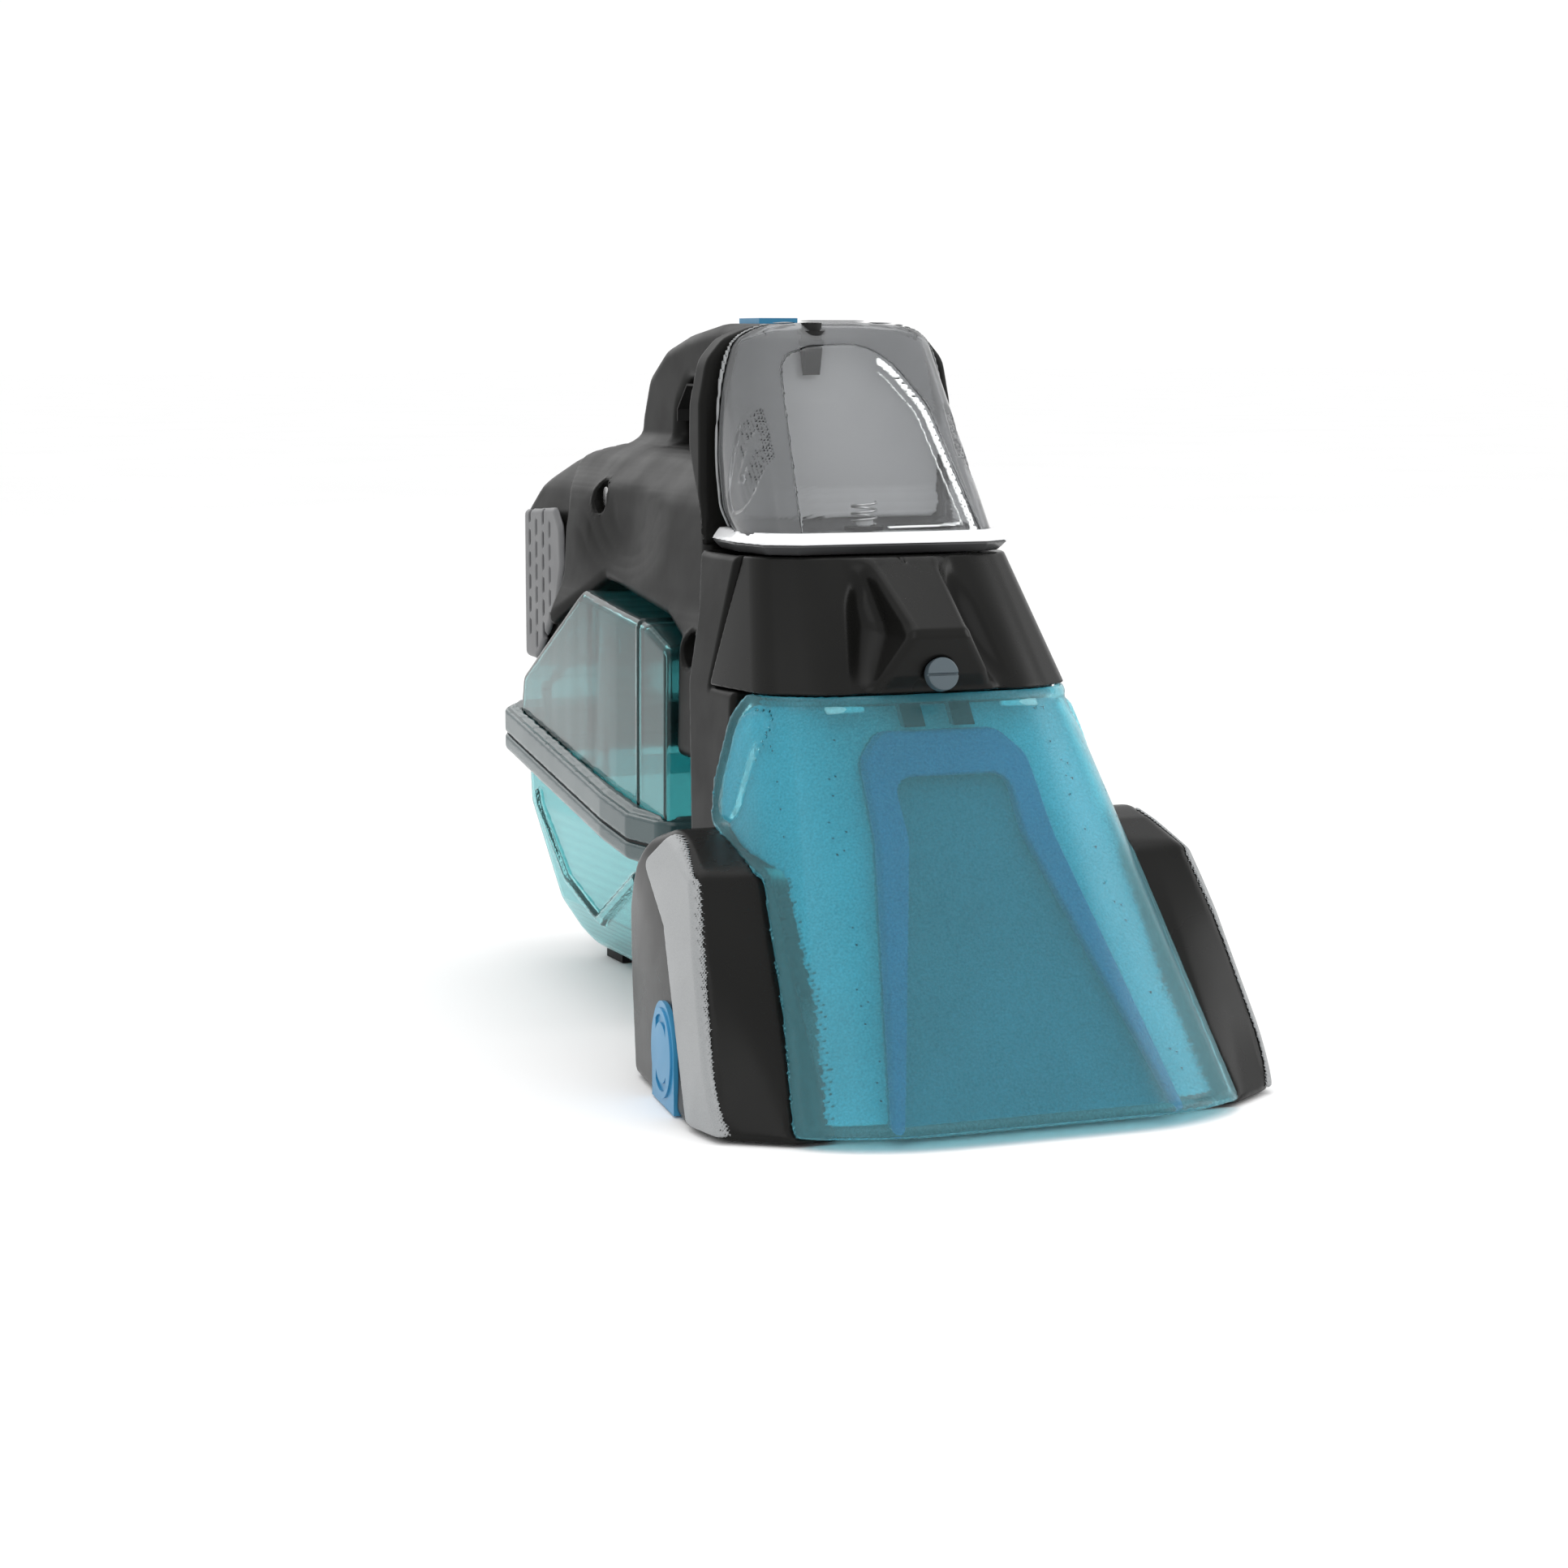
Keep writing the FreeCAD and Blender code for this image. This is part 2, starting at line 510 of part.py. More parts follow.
def housing():
    """Two moulded halves that hold the motor and carry the handle."""
    belly = profile("belly", 80, [
        (172, 108), ("lid_front - 0.5", 108), ("lid_front - 0.5", 152), (229, 159), (310, "lid_peak + 3.5"),
        (362, 145), (362, 200), (390, 216.5), (350, "deck_height"), (209.5, "deck_height"),
        (209.5, 218), (181, 163)],
        both_ways([("58", 100), ("57", 150), ("housing_half + 1", 166), ("housing_half", 186),
                   ("45", 203), ("34", 216), ("20", 224), ("0.1", 225)]))
    stern = profile("stern", 80, [
        (361, 146), (408, 125), (425, 125), (425, 192), (412, 204), (392, 216), (361, "deck_height")],
        both_ways([("44", 120), ("46.5", 150), ("46", 186), ("42", 203), ("32", 214), ("18", 221),
                   ("0.1", 224)]))
    arch = profile("arch", "handle_half", [
        (209.5, "deck_height - 6"), (209.5, 264), (225, "handle_top - 1.5"), (262, "handle_top - 1"),
        (297, 263.5), (320, 257), (338, 247), (347, 232), (352, "deck_height - 6"),
        ("gap_rear + 2", "deck_height - 6"),
        ("gap_rear", 236), ("gap_rear - 11", "gap_top"), ("gap_front + 12", "gap_top"),
        ("gap_front", 238), ("gap_front", "deck_height - 6")],
        both_ways([("handle_half", 200), ("handle_half", 256), ("15", 264), ("9", 268.5), ("6", 271)]))
    outside = fuse("housing_outside", belly, stern, arch)
    inside = fuse("housing_inside", shrunk("belly_core", belly, "wall"), shrunk("stern_core", stern, "wall"),
                  middle_box("belly_to_stern", 38, (355, 160), (12, 45)))
    lane = profile("handle_lane", "handle_half - wall", [
        (214, "deck_height - 1"), (214, 262), (262, "handle_top - 4.5"), (296, 259), (318, 253), (333, 244),
        (342, "deck_height - 1"), ("gap_rear + 8", "deck_height - 1"), ("gap_rear + 3", 238),
        ("gap_rear - 8", "gap_top + 3"), ("gap_front + 12", "gap_top + 3"),
        ("gap_front - 3", "deck_height - 1")])
    trigger_way = middle_box("trigger_way", 8.4, ("gap_front + 3", "gap_top - 4"), (36, 12))
    button_way = middle_box("button_way", 8.3, (243, 260), (22, 20))
    inlet = cylinder("charging_way", 4.2, 20, (24, 412, 134), ALONG_Y)
    shell = cut("housing_shell", outside, inside, lane, trigger_way, button_way, inlet)
    halves = [common(f"{side}_shell", shell, box(f"{side}_half", (low, 100, 50), (200, 400, 300)))
              for side, low in (("left", -200), ("right", 0))]
    bosses, bores, recesses = [], [], []
    for count, (back, height, reach) in enumerate(SCREW_PLACES):
        spot = (f"-({reach})", back, height)
        bosses.append(cylinder(f"boss_{count}", "recess_radius + 1.8", 16, spot, ALONG_X))
        bores.append(cylinder(f"boss_bore_{count}", "screw_radius + running", 60, spot, ALONG_X))
        recesses.append(cylinder(f"recess_{count}", "recess_radius", 33.2, (f"-({reach}) - 30", back, height),
                                 ALONG_X))
    bosses_inside = common("bosses_inside", belly, fuse("boss_set", *bosses))
    node("housing_left", cut("left_bored", fuse("left_with_bosses", halves[0], bosses_inside), *bores,
                             *recesses))
    node("housing_right", halves[1])
    grip = profile("grip_block", "handle_half + 0.6", [
        ("gap_front + 41", "gap_top - 0.9"), ("gap_rear - 11.4", "gap_top - 0.9"), ("gap_rear - 0.9", 235.7),
        ("gap_rear - 0.9", 231), ("gap_rear - 0.05", 231), ("gap_rear - 0.05", 235.9),
        ("gap_rear - 11.1", "gap_top - 0.05"), ("gap_front + 41", "gap_top - 0.05")])
    node("grip_pad", grip)


def rear_vent_cover():
    """Slotted cover that wraps the rear of the housing."""
    outside = profile("vent_outside", 80, [
        (368, 155), (361.5, 170), (363, 186), (372, 194), ("machine_length", 188), ("machine_length", 127.5),
        (402, 127.5), (396, 131)],
        None,
        both_ways([("50.5", 362), ("48", 418), ("41", "machine_length - 1"), ("20", "machine_length")]))
    inside = profile("vent_inside", 80, [
        (340, 120), (340, 200), (425.4, 200), (425.4, 120)], None,
        both_ways([("47.4", 340), ("46.8", 400), ("46.6", 425.4)]))
    slots = []
    for row in range(5):
        for column in range(3):
            slots.append(box(f"vent_slot_{row}_{column}",
                             (-80, f"382 + {column} * 12", f"136 + {row} * 10.5"),
                             (160, 2.6, 7)))
    grid = group("vent_slots", slots)
    node("rear_vent_cover", cut("vent_cover", outside, inside, grid))


def controls():
    """Power button, spray trigger and what they press on."""
    key = middle_box("key", 8, (243.5, 263), (21, 8.6))
    node("power_button", cut("key_body", key, middle_box("key_hollow", 5.5, (247, 258), (14, 8.5))))
    node("button_spring", ring("button_spring_coil", 3, 2.2, 4.6, (0, 254, 261.8)))
    node("power_switch", middle_box("switch_base", 7, (246, 257.2), (16, 4.4)))

    lever = profile("lever", 8, [
        ("gap_front + 5", 252), ("gap_front + 5", 247), ("gap_front + 8", 240), ("gap_front + 14", 235.5),
        ("gap_front + 24", 238), ("gap_front + 35", 244), ("gap_front + 35", 254.5),
        ("gap_front + 27", 254.5)])
    pin_way = cylinder("trigger_bore", "1.5 + running", 20, (-10, "gap_front + 31", 251), ALONG_X)
    node("trigger", cut("trigger_body", lever, pin_way))
    node("trigger_pin", cylinder("trigger_axle", 1.5, 32, (-16, "gap_front + 31", 251), ALONG_X))
    node("trigger_spring", ring("trigger_spring_coil", 2.5, 1.8, 4, (0, "gap_front + 11", 253.1)))
    node("spray_switch", middle_box("spray_switch_body", 5, ("gap_front + 4", 257.4), (16, 4.4)))


# ---------------------------------------------------------------- machinery inside the housing

def suction_motor():
    """Motor, shaft with impeller, scroll and rubber mount."""
    def disc(name, radius, length, start):
        return cylinder(name, radius, length, (0, f"motor_front + {start}", "motor_z"), ALONG_Y)

    can = fuse("can", disc("motor_can", "motor_radius", 52, 0), disc("motor_boss", 6, 3, 52))
    node("fan_motor", cut("motor_body", can, disc("motor_bore", "2.5 + running", 60, -2)))
    mount = cut("mount_ring", disc("mount_outside", "motor_radius + 2.2", 10, 6),
                disc("mount_inside", "motor_radius", 10, 6))
    node("motor_mount", mount)
    shaft = disc("shaft", 2.5, 72, 0)
    plate = disc("impeller_plate", "motor_radius + 1", 2, 59)
    hub = disc("impeller_hub", 5, 12, 59)
    blades = []
    for count in range(7):
        blade = doc.addObject("Part::Box", f"blade_{count}")
        bind(blade, Length="motor_radius - 5", Width=9, Height=1.4)
        place(blade, (0, "motor_front + 61", "motor_z"), ROTATION(VECTOR(0, 1, 0), count * 360 / 7))
        blades.append(blade)
    node("impeller", fuse("impeller_body", shaft, plate, hub, *blades))
    scroll = cut("scroll_ring", disc("scroll_outside", "motor_radius + 4", 16, 57),
                 disc("scroll_inside", "motor_radius + 2", 13.5, 57), disc("scroll_eye", 10, 30, 56))
    node("fan_scroll", scroll)


def electrics():
    """Battery cells, circuit board and charging inlet."""
    cells = [cylinder(f"cell_{side}_{row}", "cell_radius", "cell_length",
                      (f"{side} * 31", 208, f"176.4 + {row} * 18.5"), ALONG_Y)
             for side in (-1, 1) for row in (0, 1)]
    node("battery_cells", group("battery", cells))
    board = middle_box("board", 20, (216, "deck_height - 8"), (50, 1.6))
    chips = [box(f"chip_{count}", (f"-16 + {count} * 13", 232, "deck_height - 10"), (8, 8, 2))
             for count in range(3)]
    node("circuit_board", fuse("circuit", board, *chips))
    node("charging_inlet", ring("charging_socket", "4.1", "2.9", 12, (24, 413, 134), ALONG_Y))


def solution_pump():
    """Diaphragm pump under the cradle with its two tubes."""
    head = box("pump_head", (-8, 126, 148), (16, 22, 24))
    node("solution_pump", fuse("pump", cylinder("pump_barrel", 10.5, 27, (-34, 136, 161), ALONG_X), head))

    def elbow(name, radius, extra):
        return fuse(name, cylinder(name + "_rise", radius, f"18 + {extra}", (0, 160, f"168 - {radius}")),
                    cylinder(name + "_run", radius - 0.1, f"11.9 + {extra} + {radius} * 0.5",
                             (0, f"148.1 - {extra}", 168), ALONG_Y))

    node("supply_tube", cut("supply", elbow("supply_outside", 3.2, 0), elbow("supply_inside", 2, 1)))
    node("spray_tube", ring("spray_line", 2.6, 1.5, 19.2, (0, 106.7, 150.5), ALONG_Y))


def screws():
    """Screws that close the housing halves, sunk in recesses of the left one."""
    set_of_screws = []
    for count, (back, height, reach) in enumerate(SCREW_PLACES):
        shank = cylinder(f"screw_shank_{count}", "screw_radius", 14, (f"3.3 - {reach}", back, height),
                         ALONG_X)
        head = cylinder(f"screw_head_{count}", "screw_radius * 2", 2.2, (f"1.0 - {reach}", back, height),
                        ALONG_X)
        set_of_screws.append(fuse(f"screw_{count}", shank, head))
    node("housing_screws", group("screw_set", set_of_screws))


# ---------------------------------------------------------------- brush housing

SHOULDER_SIDE = [(20, 0), (58, 0), (150, 0), (156, 34), ("shoulder_rear", 62), (148, 78), (135, 89),
                 (118, "shoulder_top"), (104, 90.5), (83, 82.5), (79, 77)]


def shoulder_block(name, grow):
    """Both shoulders and what joins them, made wider by an amount."""
    narrow = "tan(side_yaw) * 100"
    return profile(name, 130, SHOULDER_SIDE,
                   both_ways([(f"shoulder_half + {grow}", 0), (f"shoulder_half - 1 + {grow}", 10),
                              (f"shoulder_half - 6 + {grow}", 60), (f"shoulder_half - 9 + {grow}", 82),
                              (f"shoulder_half - 13 + {grow}", "shoulder_top + 1")]),
                   both_ways([("80", 20), (f"shoulder_half - 4 + {grow}", 34),
                              (f"shoulder_half + {grow}", 56),
                              (f"shoulder_half + {grow} - {narrow}", 156),
                              (f"shoulder_half + {grow} - {narrow}", 200)]))


def before_shoulders():
    """Space in front of the shoulders, whose front faces twist from the trims in to the nozzle's edge."""
    levels = [(-1, 32.6, 18), (3, 35, 21), (41, 57.8, 73), (78, 80, 89), (100, 82, 89)]
    return loft("before_shoulders", *[
        (height, both_ways([(130, -60), (130, outer), (101, outer), (81, inner)]))
        for height, outer, inner in levels])


def brush_housing():
    """Hood over the brush with a shoulder at each side."""
    wide = cut("shoulders_cut_back", shoulder_block("shoulders", 0), before_shoulders())
    above_hood = profile("above_hood", "nozzle_half_top + 7", [
        (-10, -10), (62, -10), (62, 50), (80, 66), (150, 66), (170, 75), (170, 130), (-10, 130)])
    room = cylinder("brush_room", "bristle_radius + 2.5", 180, (-90, "brush_y", "brush_z"), ALONG_X)
    mouth = middle_box("brush_mouth", 90, ("brush_y - bristle_radius - 2.5", -20),
                       ("2 * bristle_radius + 5", "20 + brush_z"))
    motor_bay = middle_box("motor_bay", 66, (122, 26), (28, 34))
    belt_bay = box("belt_bay", (77, "brush_y - 18", "brush_z - 15"), (13, 70, 50))
    shaft_way = cylinder("shaft_way", 2.4, 20, (60, "motor_y_drive", "motor_z_drive"), ALONG_X)
    bearing_way = cylinder("bearing_way", 7.02, 5, (89, "brush_y", "brush_z"), ALONG_X)
    nozzle_way = common("nozzle_way", loft("nozzle_way_outside",
                                           ("lip_height - 3", nozzle_outline("-2.3", "-3", 44, "bottom")),
                                           ("nozzle_top", nozzle_outline("-2.3", "-3", 44, "top"))),
                        nozzle_side("nozzle_way_side", 0.6))
    hollow = box("shoulder_hollow", (-88, 84, 50), (14, 56, 22))
    arch_way = yawed(arch_solid("arch_way", f"{ARCH_RADIUS} + clearance / 2", 30, 14))
    node("brush_housing", cut("brush_cover", wide, above_hood, room, mouth, motor_bay, belt_bay, shaft_way,
                              bearing_way, nozzle_way, hollow, arch_way))

    band = profile("trim_band", 130, [(36, 2), (84, 82), (118, 95.5), (131, 80), (103, 62), (62, 2)])
    skin = cut("trim_skin", common("trim_outside", shoulder_block("shoulders_wider", "trim_thick"), band),
               shoulder_block("shoulders_base", 0))
    for side, low in (("left", -200), ("right", 0)):
        half = box(f"trim_{side}_half", (low, 0, 0), (200, 200, 200))
        node(f"trim_{side}", common(f"trim_{side}_strip", skin, half))


ARCH_RADIUS = 18
DIAL_HEIGHT = 19
SIDE_FACE = ("-(shoulder_half - tan(side_yaw) * (brush_y - 56) + 0.8)", "brush_y", DIAL_HEIGHT)
YAW = ROTATION(VECTOR(0, 0, 1), -worth("side_yaw"))


def arch_solid(name, radius, depth, front=0):
    """A plate with a round top and straight legs, whose outer face is at x = -front."""
    disc = cylinder(f"{name}_disc", radius, depth, (-front, 0, 0), ALONG_X)
    legs = box(f"{name}_legs", (-front, f"-({radius})", f"0.6 - {DIAL_HEIGHT}"),
               (depth, f"2 * ({radius})", f"{DIAL_HEIGHT} - 0.6"))
    return fuse(name, disc, legs)


def yawed(thing):
    """Put a piece drawn at the origin onto the left shoulder's slanting side face."""
    return place(thing, SIDE_FACE, YAW)


def lock_plate():
    """End plate of the brush and the dial that locks it."""
    plate = cut("plate_body", arch_solid("plate", ARCH_RADIUS, 6.5),
                cylinder("plate_recess", "15.6 + running", 4.6, (-1, 0, 0), ALONG_X),
                cylinder("plate_bore", "6 + running", 20, (-5, 0, 0), ALONG_X))
    node("end_plate", yawed(plate))
    pockets = []
    for side in (-1, 1):
        rim = ring(f"pocket_ring_{side}", 13.4, 10.6, 3, (-3, 0, 0), ALONG_X)
        keep = box(f"pocket_keep_{side}", (-4, -8, f"{side} * 12 - 6"), (6, 16, 12))
        pockets.append(common(f"pocket_{side}", rim, keep))
    disc = fuse("dial_disc", cylinder("dial_plate", 15.6, 4.2, (-0.8, 0, 0), ALONG_X),
                cylinder("dial_hub", 6, 8, (-0.5, 0, 0), ALONG_X))
    node("lock_dial", yawed(cut("dial_body", disc, *pockets)))


BRUSH_PULLEY = 11
MOTOR_PULLEY = 7


def brush():
    """Driven roll with its bearings."""
    def rod(name, radius, start, length):
        return cylinder(name, radius, length, (start, "brush_y", "brush_z"), ALONG_X)

    core = fuse("core_rod", rod("core_barrel", "core_radius", -81, 156), rod("core_journals", 4, -90, 184))
    node("brush_core", core)
    tufts = []
    for wrap in range(2):
        for step in range(26):
            tuft = doc.addObject("Part::Cone", f"tuft_{wrap}_{step}")
            bind(tuft, Radius1=1.9, Radius2=1.5, Height="bristle_radius - core_radius")
            turn = ROTATION(VECTOR(1, 0, 0), wrap * 180 + step * 30)
            lift = turn.multVec(VECTOR(0, 0, 1))
            place(tuft, (f"-78 + {step} * 5.9", f"brush_y + core_radius * {lift.y:.4f}",
                         f"brush_z + core_radius * {lift.z:.4f}"), turn)
            tufts.append(tuft)
    node("brush_tufts", group("tufts", tufts))
    node("brush_pulley", cut("brush_pulley_body", rod("brush_pulley_rim", BRUSH_PULLEY, 78.5, 8),
                             rod("brush_pulley_bore", 4, 78, 9)))
    node("brush_bearings", group("bearings", [
        ring("bearing_left", 7, "4 + running", 4, (-90, "brush_y", "brush_z"), ALONG_X),
        ring("bearing_right", 7, "4 + running", 3.4, (90.3, "brush_y", "brush_z"), ALONG_X)]))


def brush_drive():
    """Brush motor, its pulley and the belt to the roll."""
    seat = ("motor_y_drive", "motor_z_drive")
    can = fuse("drive_can", cylinder("drive_motor_can", 13, 54, (2, *seat), ALONG_X),
               cylinder("drive_motor_boss", 4, 3, (56, *seat), ALONG_X))
    node("brush_motor", cut("drive_motor_body", can,
                            cylinder("drive_motor_bore", "1.6 + running", 40, (30, *seat), ALONG_X)))
    pulley = cylinder("motor_pulley_rim", MOTOR_PULLEY, 8, (78.5, *seat), ALONG_X)
    shaft = cylinder("motor_pulley_shaft", 1.6, 47, (34, *seat), ALONG_X)
    node("motor_pulley", fuse("motor_pulley_body", pulley, shaft))
    node("drive_belt", cut("belt", belt_solid("belt_outside", 2), belt_solid("belt_inside", 0.3)))


def belt_solid(name, offset):
    """Solid round the brush pulley and the motor pulley, an offset outside their rims."""
    span = VECTOR(0, worth("motor_y_drive - brush_y"), worth("motor_z_drive - brush_z"))
    along = VECTOR(span).normalize()
    across = VECTOR(1, 0, 0).cross(along)
    lean = (BRUSH_PULLEY - MOTOR_PULLEY) / span.Length
    rise = (1 - lean ** 2) ** 0.5
    ends = (("brush_y", "brush_z", BRUSH_PULLEY + offset),
            ("motor_y_drive", "motor_z_drive", MOTOR_PULLEY + offset))
    tangents = [(f"{back} + {radius * way.y:.5f}", f"{height} + {radius * way.z:.5f}")
                for way in (along * lean + across * rise, along * lean - across * rise)
                for back, height, radius in ends]
    between = place(profile(f"{name}_span", 3, [tangents[0], tangents[1], tangents[3], tangents[2]]),
                    (82.5, 0, 0))
    rounds = [cylinder(f"{name}_round_{count}", radius, 6, (79.5, back, height), ALONG_X)
              for count, (back, height, radius) in enumerate(ends)]
    return fuse(name, between, *rounds)


# ---------------------------------------------------------------- dirty tank

LATCH_AXIS = (423, 108.7)


def joint(offset, back):
    """Height of the joint between lid and bowl at a place, moved up by an offset."""
    return f"flange_height + flange_rise * (({back}) - 232) + ({offset})"


def joint_band(name, low, high, front, rear, plan):
    """A slab that follows the joint between two heights above it."""
    return profile(name, 90, [
        (front, f"flange_height + {low}"), (232, f"flange_height + {low}"), (rear, joint(low, rear)),
        (rear, joint(high, rear)), (232, f"flange_height + {high}"),
        (front, f"flange_height + {high}")], None, plan)


def flange_plan(inset):
    """Level outline of the flange, drawn in by an amount."""
    return both_ways([(f"48 - {inset}", f"199 + {inset}"), (f"flange_half - 4 - {inset}", f"203 + {inset}"),
                      (f"flange_half - {inset}", f"232 + {inset} * 0.3"), (f"flange_half - {inset}", 262),
                      (f"58 - {inset}", f"418 - {inset} * 0.4"), (f"50 - {inset}", f"429 - {inset}"),
                      (f"20 - {inset}", f"431.5 - {inset}")])


def lid_block(name, inset):
    """Upper part of the dirty tank, drawn in by an amount and open at the bottom."""
    return profile(name, 90, [
        (f"lid_front + {inset}", 55), (f"lid_front + {inset}", f"149 - {inset}"), (229, f"156 - {inset}"),
        (310, f"lid_peak - {inset}"), (f"lid_rear - 4 - {inset}", f"121 - {inset}"),
        (f"lid_rear - {inset}", f"108 - {inset}"), (f"lid_rear - {inset}", 55)],
        both_ways([(f"lid_half + 1 - {inset}", 50), (f"lid_half - {inset}", 158),
                   (f"lid_half - 4 - {inset}", 170)]),
        both_ways([(f"lid_half + 1 - {inset}", 190), (f"lid_half + 1 - {inset}", 262),
                   (f"53 - {inset}", 420)]))


def dirty_tank():
    """Lid and bowl with the gasket between them, the inlet neck and what is inside."""
    core = lid_block("lid_core", "tank_wall")
    sky = profile("above_joint", 90, [(190, "flange_height + 0.6"), (232, "flange_height + 0.6"),
                                      (440, joint(0.6, 440)), (440, 200), (190, 200)])
    upper = common("lid_above", lid_block("lid_outside", 0), sky)
    rim = joint_band("lid_rim", 0.6, 10.5, 199, 432, flange_plan(0))
    neck = middle_box("neck", "neck_half", (174.6, 84), (33, "duct_height"))
    neck_bore = middle_box("neck_bore", "neck_half - 2", (170, 86), (40, "duct_height - 4"))
    port = cylinder("port_way", 12, 30, (0, 262, 145))
    lugs = [box(f"latch_lug_{side}", (f"{side} * 15.8 - 1.4", 419.5, 104.5),
                (2.8, 6.5, 6.5)) for side in (-1, 1)]
    pivot_way = cylinder("pivot_way", "1.5 + running", 60, (-30, *LATCH_AXIS), ALONG_X)
    solid = fuse("lid_solid", upper, rim, neck, *lugs)
    node("dirty_tank_lid", cut("lid_shell", solid, core, neck_bore, port, pivot_way))

    def bowl_block(name, inset):
        return profile(name, 90, [
            (f"206 + {inset}", 100), (f"207 + {inset}", 66), (f"221 + {inset}", f"14 + {inset} * 0.4"),
            (f"231 + {inset} * 0.5", f"3.2 + {inset}"), (f"378 - {inset} * 0.5", f"3.2 + {inset}"),
            (f"392 - {inset} * 0.7", f"9 + {inset} * 0.6"), (f"402 - {inset}", f"22 + {inset} * 0.3"),
            (f"411 - {inset}", 82), (f"413 - {inset}", 120)],
            both_ways([(f"keel_half - {inset} * 0.6", f"3.2 + {inset}"), (f"31 - {inset}", 8),
                       (f"39 - {inset}", 24), (f"bowl_half - {inset}", 66), (f"bowl_half - {inset}", 130)]))

    earth = profile("below_joint", 90,
                    [(190, -10), (190, "flange_height - 0.6"), (232, "flange_height - 0.6"),
                                        (440, joint(-0.6, 440)), (440, -10)])
    lower = common("bowl_below", bowl_block("bowl_outside", 0), earth)
    lip = joint_band("bowl_rim", -8.5, -0.6, 199, 432, flange_plan(0))
    node("dirty_tank_bowl", cut("bowl_shell", fuse("bowl_solid", lower, lip),
                                bowl_block("bowl_core", "tank_wall")))
    gasket = cut("gasket_ring", joint_band("gasket_band", -0.6, 0.6, 200.5, 430.5, flange_plan(1.2)),
                 lid_block("gasket_way", "tank_wall"))
    node("tank_gasket", gasket)
    feet = [box(f"foot_{side}", (f"{side} * 17 - 7", 362, 0), (14, 20, 3.2)) for side in (-1, 1)]
    node("tank_feet", group("feet", feet))

    cage = cut("cage_tube", ring("cage_ring", 13, 11, 50, (0, 262, 92)),
               middle_box("cage_gap_across", 20, (257, 98), (10, 36)),
               middle_box("cage_gap_along", 5, (240, 98), (44, 36)))
    floor = cylinder("cage_floor", 13, 1.6, (0, 262, 90.4))
    arms = middle_box("cage_arms", "lid_half - 3", (261, 142), (2, 6))
    arms_bore = cylinder("arms_bore", 12, 20, (0, 262, 138))
    node("float_cage", fuse("cage", cage, floor, cut("cage_arms_open", arms, arms_bore)))
    node("float", cylinder("float_body", 10.4, 17, (0, 262, 92.6)))
    panel = profile("baffle_panel", 54, [(306, 88), (309, 88), (303, 150), (300, 150)],
                    both_ways([("54", 70), ("52", 150)]))
    hole = profile("baffle_hole", 38, [(290, 96), (320, 96), (320, 136), (290, 136)])
    node("tank_baffle", cut("baffle", panel, hole))
    latch = profile("latch", 14, [(421, 106.8), (425, 106.8), (430, 111), (430, 121), (427.5, 123.6),
                                  (425.4, 121), (425.4, 113), (421, 110.5)])
    pivot = cylinder("latch_pivot", 1.5, 33, (-16.5, *LATCH_AXIS), ALONG_X)
    node("tank_latch", fuse("latch_with_pivot", latch, pivot))


for build in (suction_nozzle, front_housing, front_frame, suction_duct, clean_tank, housing, rear_vent_cover,
              controls, suction_motor, electrics, solution_pump, screws, brush_housing, lock_plate, brush,
              brush_drive, dirty_tank):
    build()
doc.recompute()

faulty = [thing.Label for thing in doc.Objects if "Invalid" in thing.State or "Error" in thing.State]
faulty += [thing.Label for thing in nodes if thing.Shape.isNull() or not thing.Shape.isValid()]
if faulty:
    raise RuntimeError("pieces that did not build: " + ", ".join(faulty))

os.makedirs("parts", exist_ok=True)
for thing in nodes:
    thing.Shape.exportStep(f"parts/{thing.Label}.step")
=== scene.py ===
"""Looks of a cordless spot cleaner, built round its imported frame.

Moulded shells are described as distances in millimetres, with y measured back from the front lip and z up
from the floor, and then turned into meshes in metres.
"""

import json
import math

import bpy
import numpy as np
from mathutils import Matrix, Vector


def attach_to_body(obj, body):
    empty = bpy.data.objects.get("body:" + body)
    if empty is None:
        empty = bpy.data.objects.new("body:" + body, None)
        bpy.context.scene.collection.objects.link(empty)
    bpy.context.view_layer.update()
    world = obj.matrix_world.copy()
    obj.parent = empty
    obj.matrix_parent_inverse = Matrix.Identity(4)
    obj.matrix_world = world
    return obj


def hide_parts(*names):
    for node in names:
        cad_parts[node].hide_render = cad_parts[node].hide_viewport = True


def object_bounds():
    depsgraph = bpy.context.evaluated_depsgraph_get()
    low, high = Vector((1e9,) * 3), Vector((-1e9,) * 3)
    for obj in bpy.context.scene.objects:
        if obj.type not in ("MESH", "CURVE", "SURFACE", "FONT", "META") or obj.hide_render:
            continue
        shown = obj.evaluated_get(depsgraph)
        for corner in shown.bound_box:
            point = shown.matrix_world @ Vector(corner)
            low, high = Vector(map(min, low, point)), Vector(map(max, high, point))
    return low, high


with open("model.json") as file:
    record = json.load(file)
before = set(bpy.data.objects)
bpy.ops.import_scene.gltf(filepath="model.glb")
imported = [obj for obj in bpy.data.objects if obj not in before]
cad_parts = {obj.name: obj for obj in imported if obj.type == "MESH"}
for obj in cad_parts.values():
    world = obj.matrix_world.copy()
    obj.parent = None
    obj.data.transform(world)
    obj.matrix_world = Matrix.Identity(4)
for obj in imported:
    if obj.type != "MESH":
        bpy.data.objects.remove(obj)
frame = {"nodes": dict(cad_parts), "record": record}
cad_low, cad_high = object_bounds()

MM = 0.001
TINY = 1e-12
GRID_SHIFT = 0.3719  # keeps flat faces from falling exactly on the points of a grid
LIP_Y = cad_low.y / MM
LENGTH = (cad_high.y - cad_low.y) / MM


# ---------------------------------------------------------------- distances and meshes

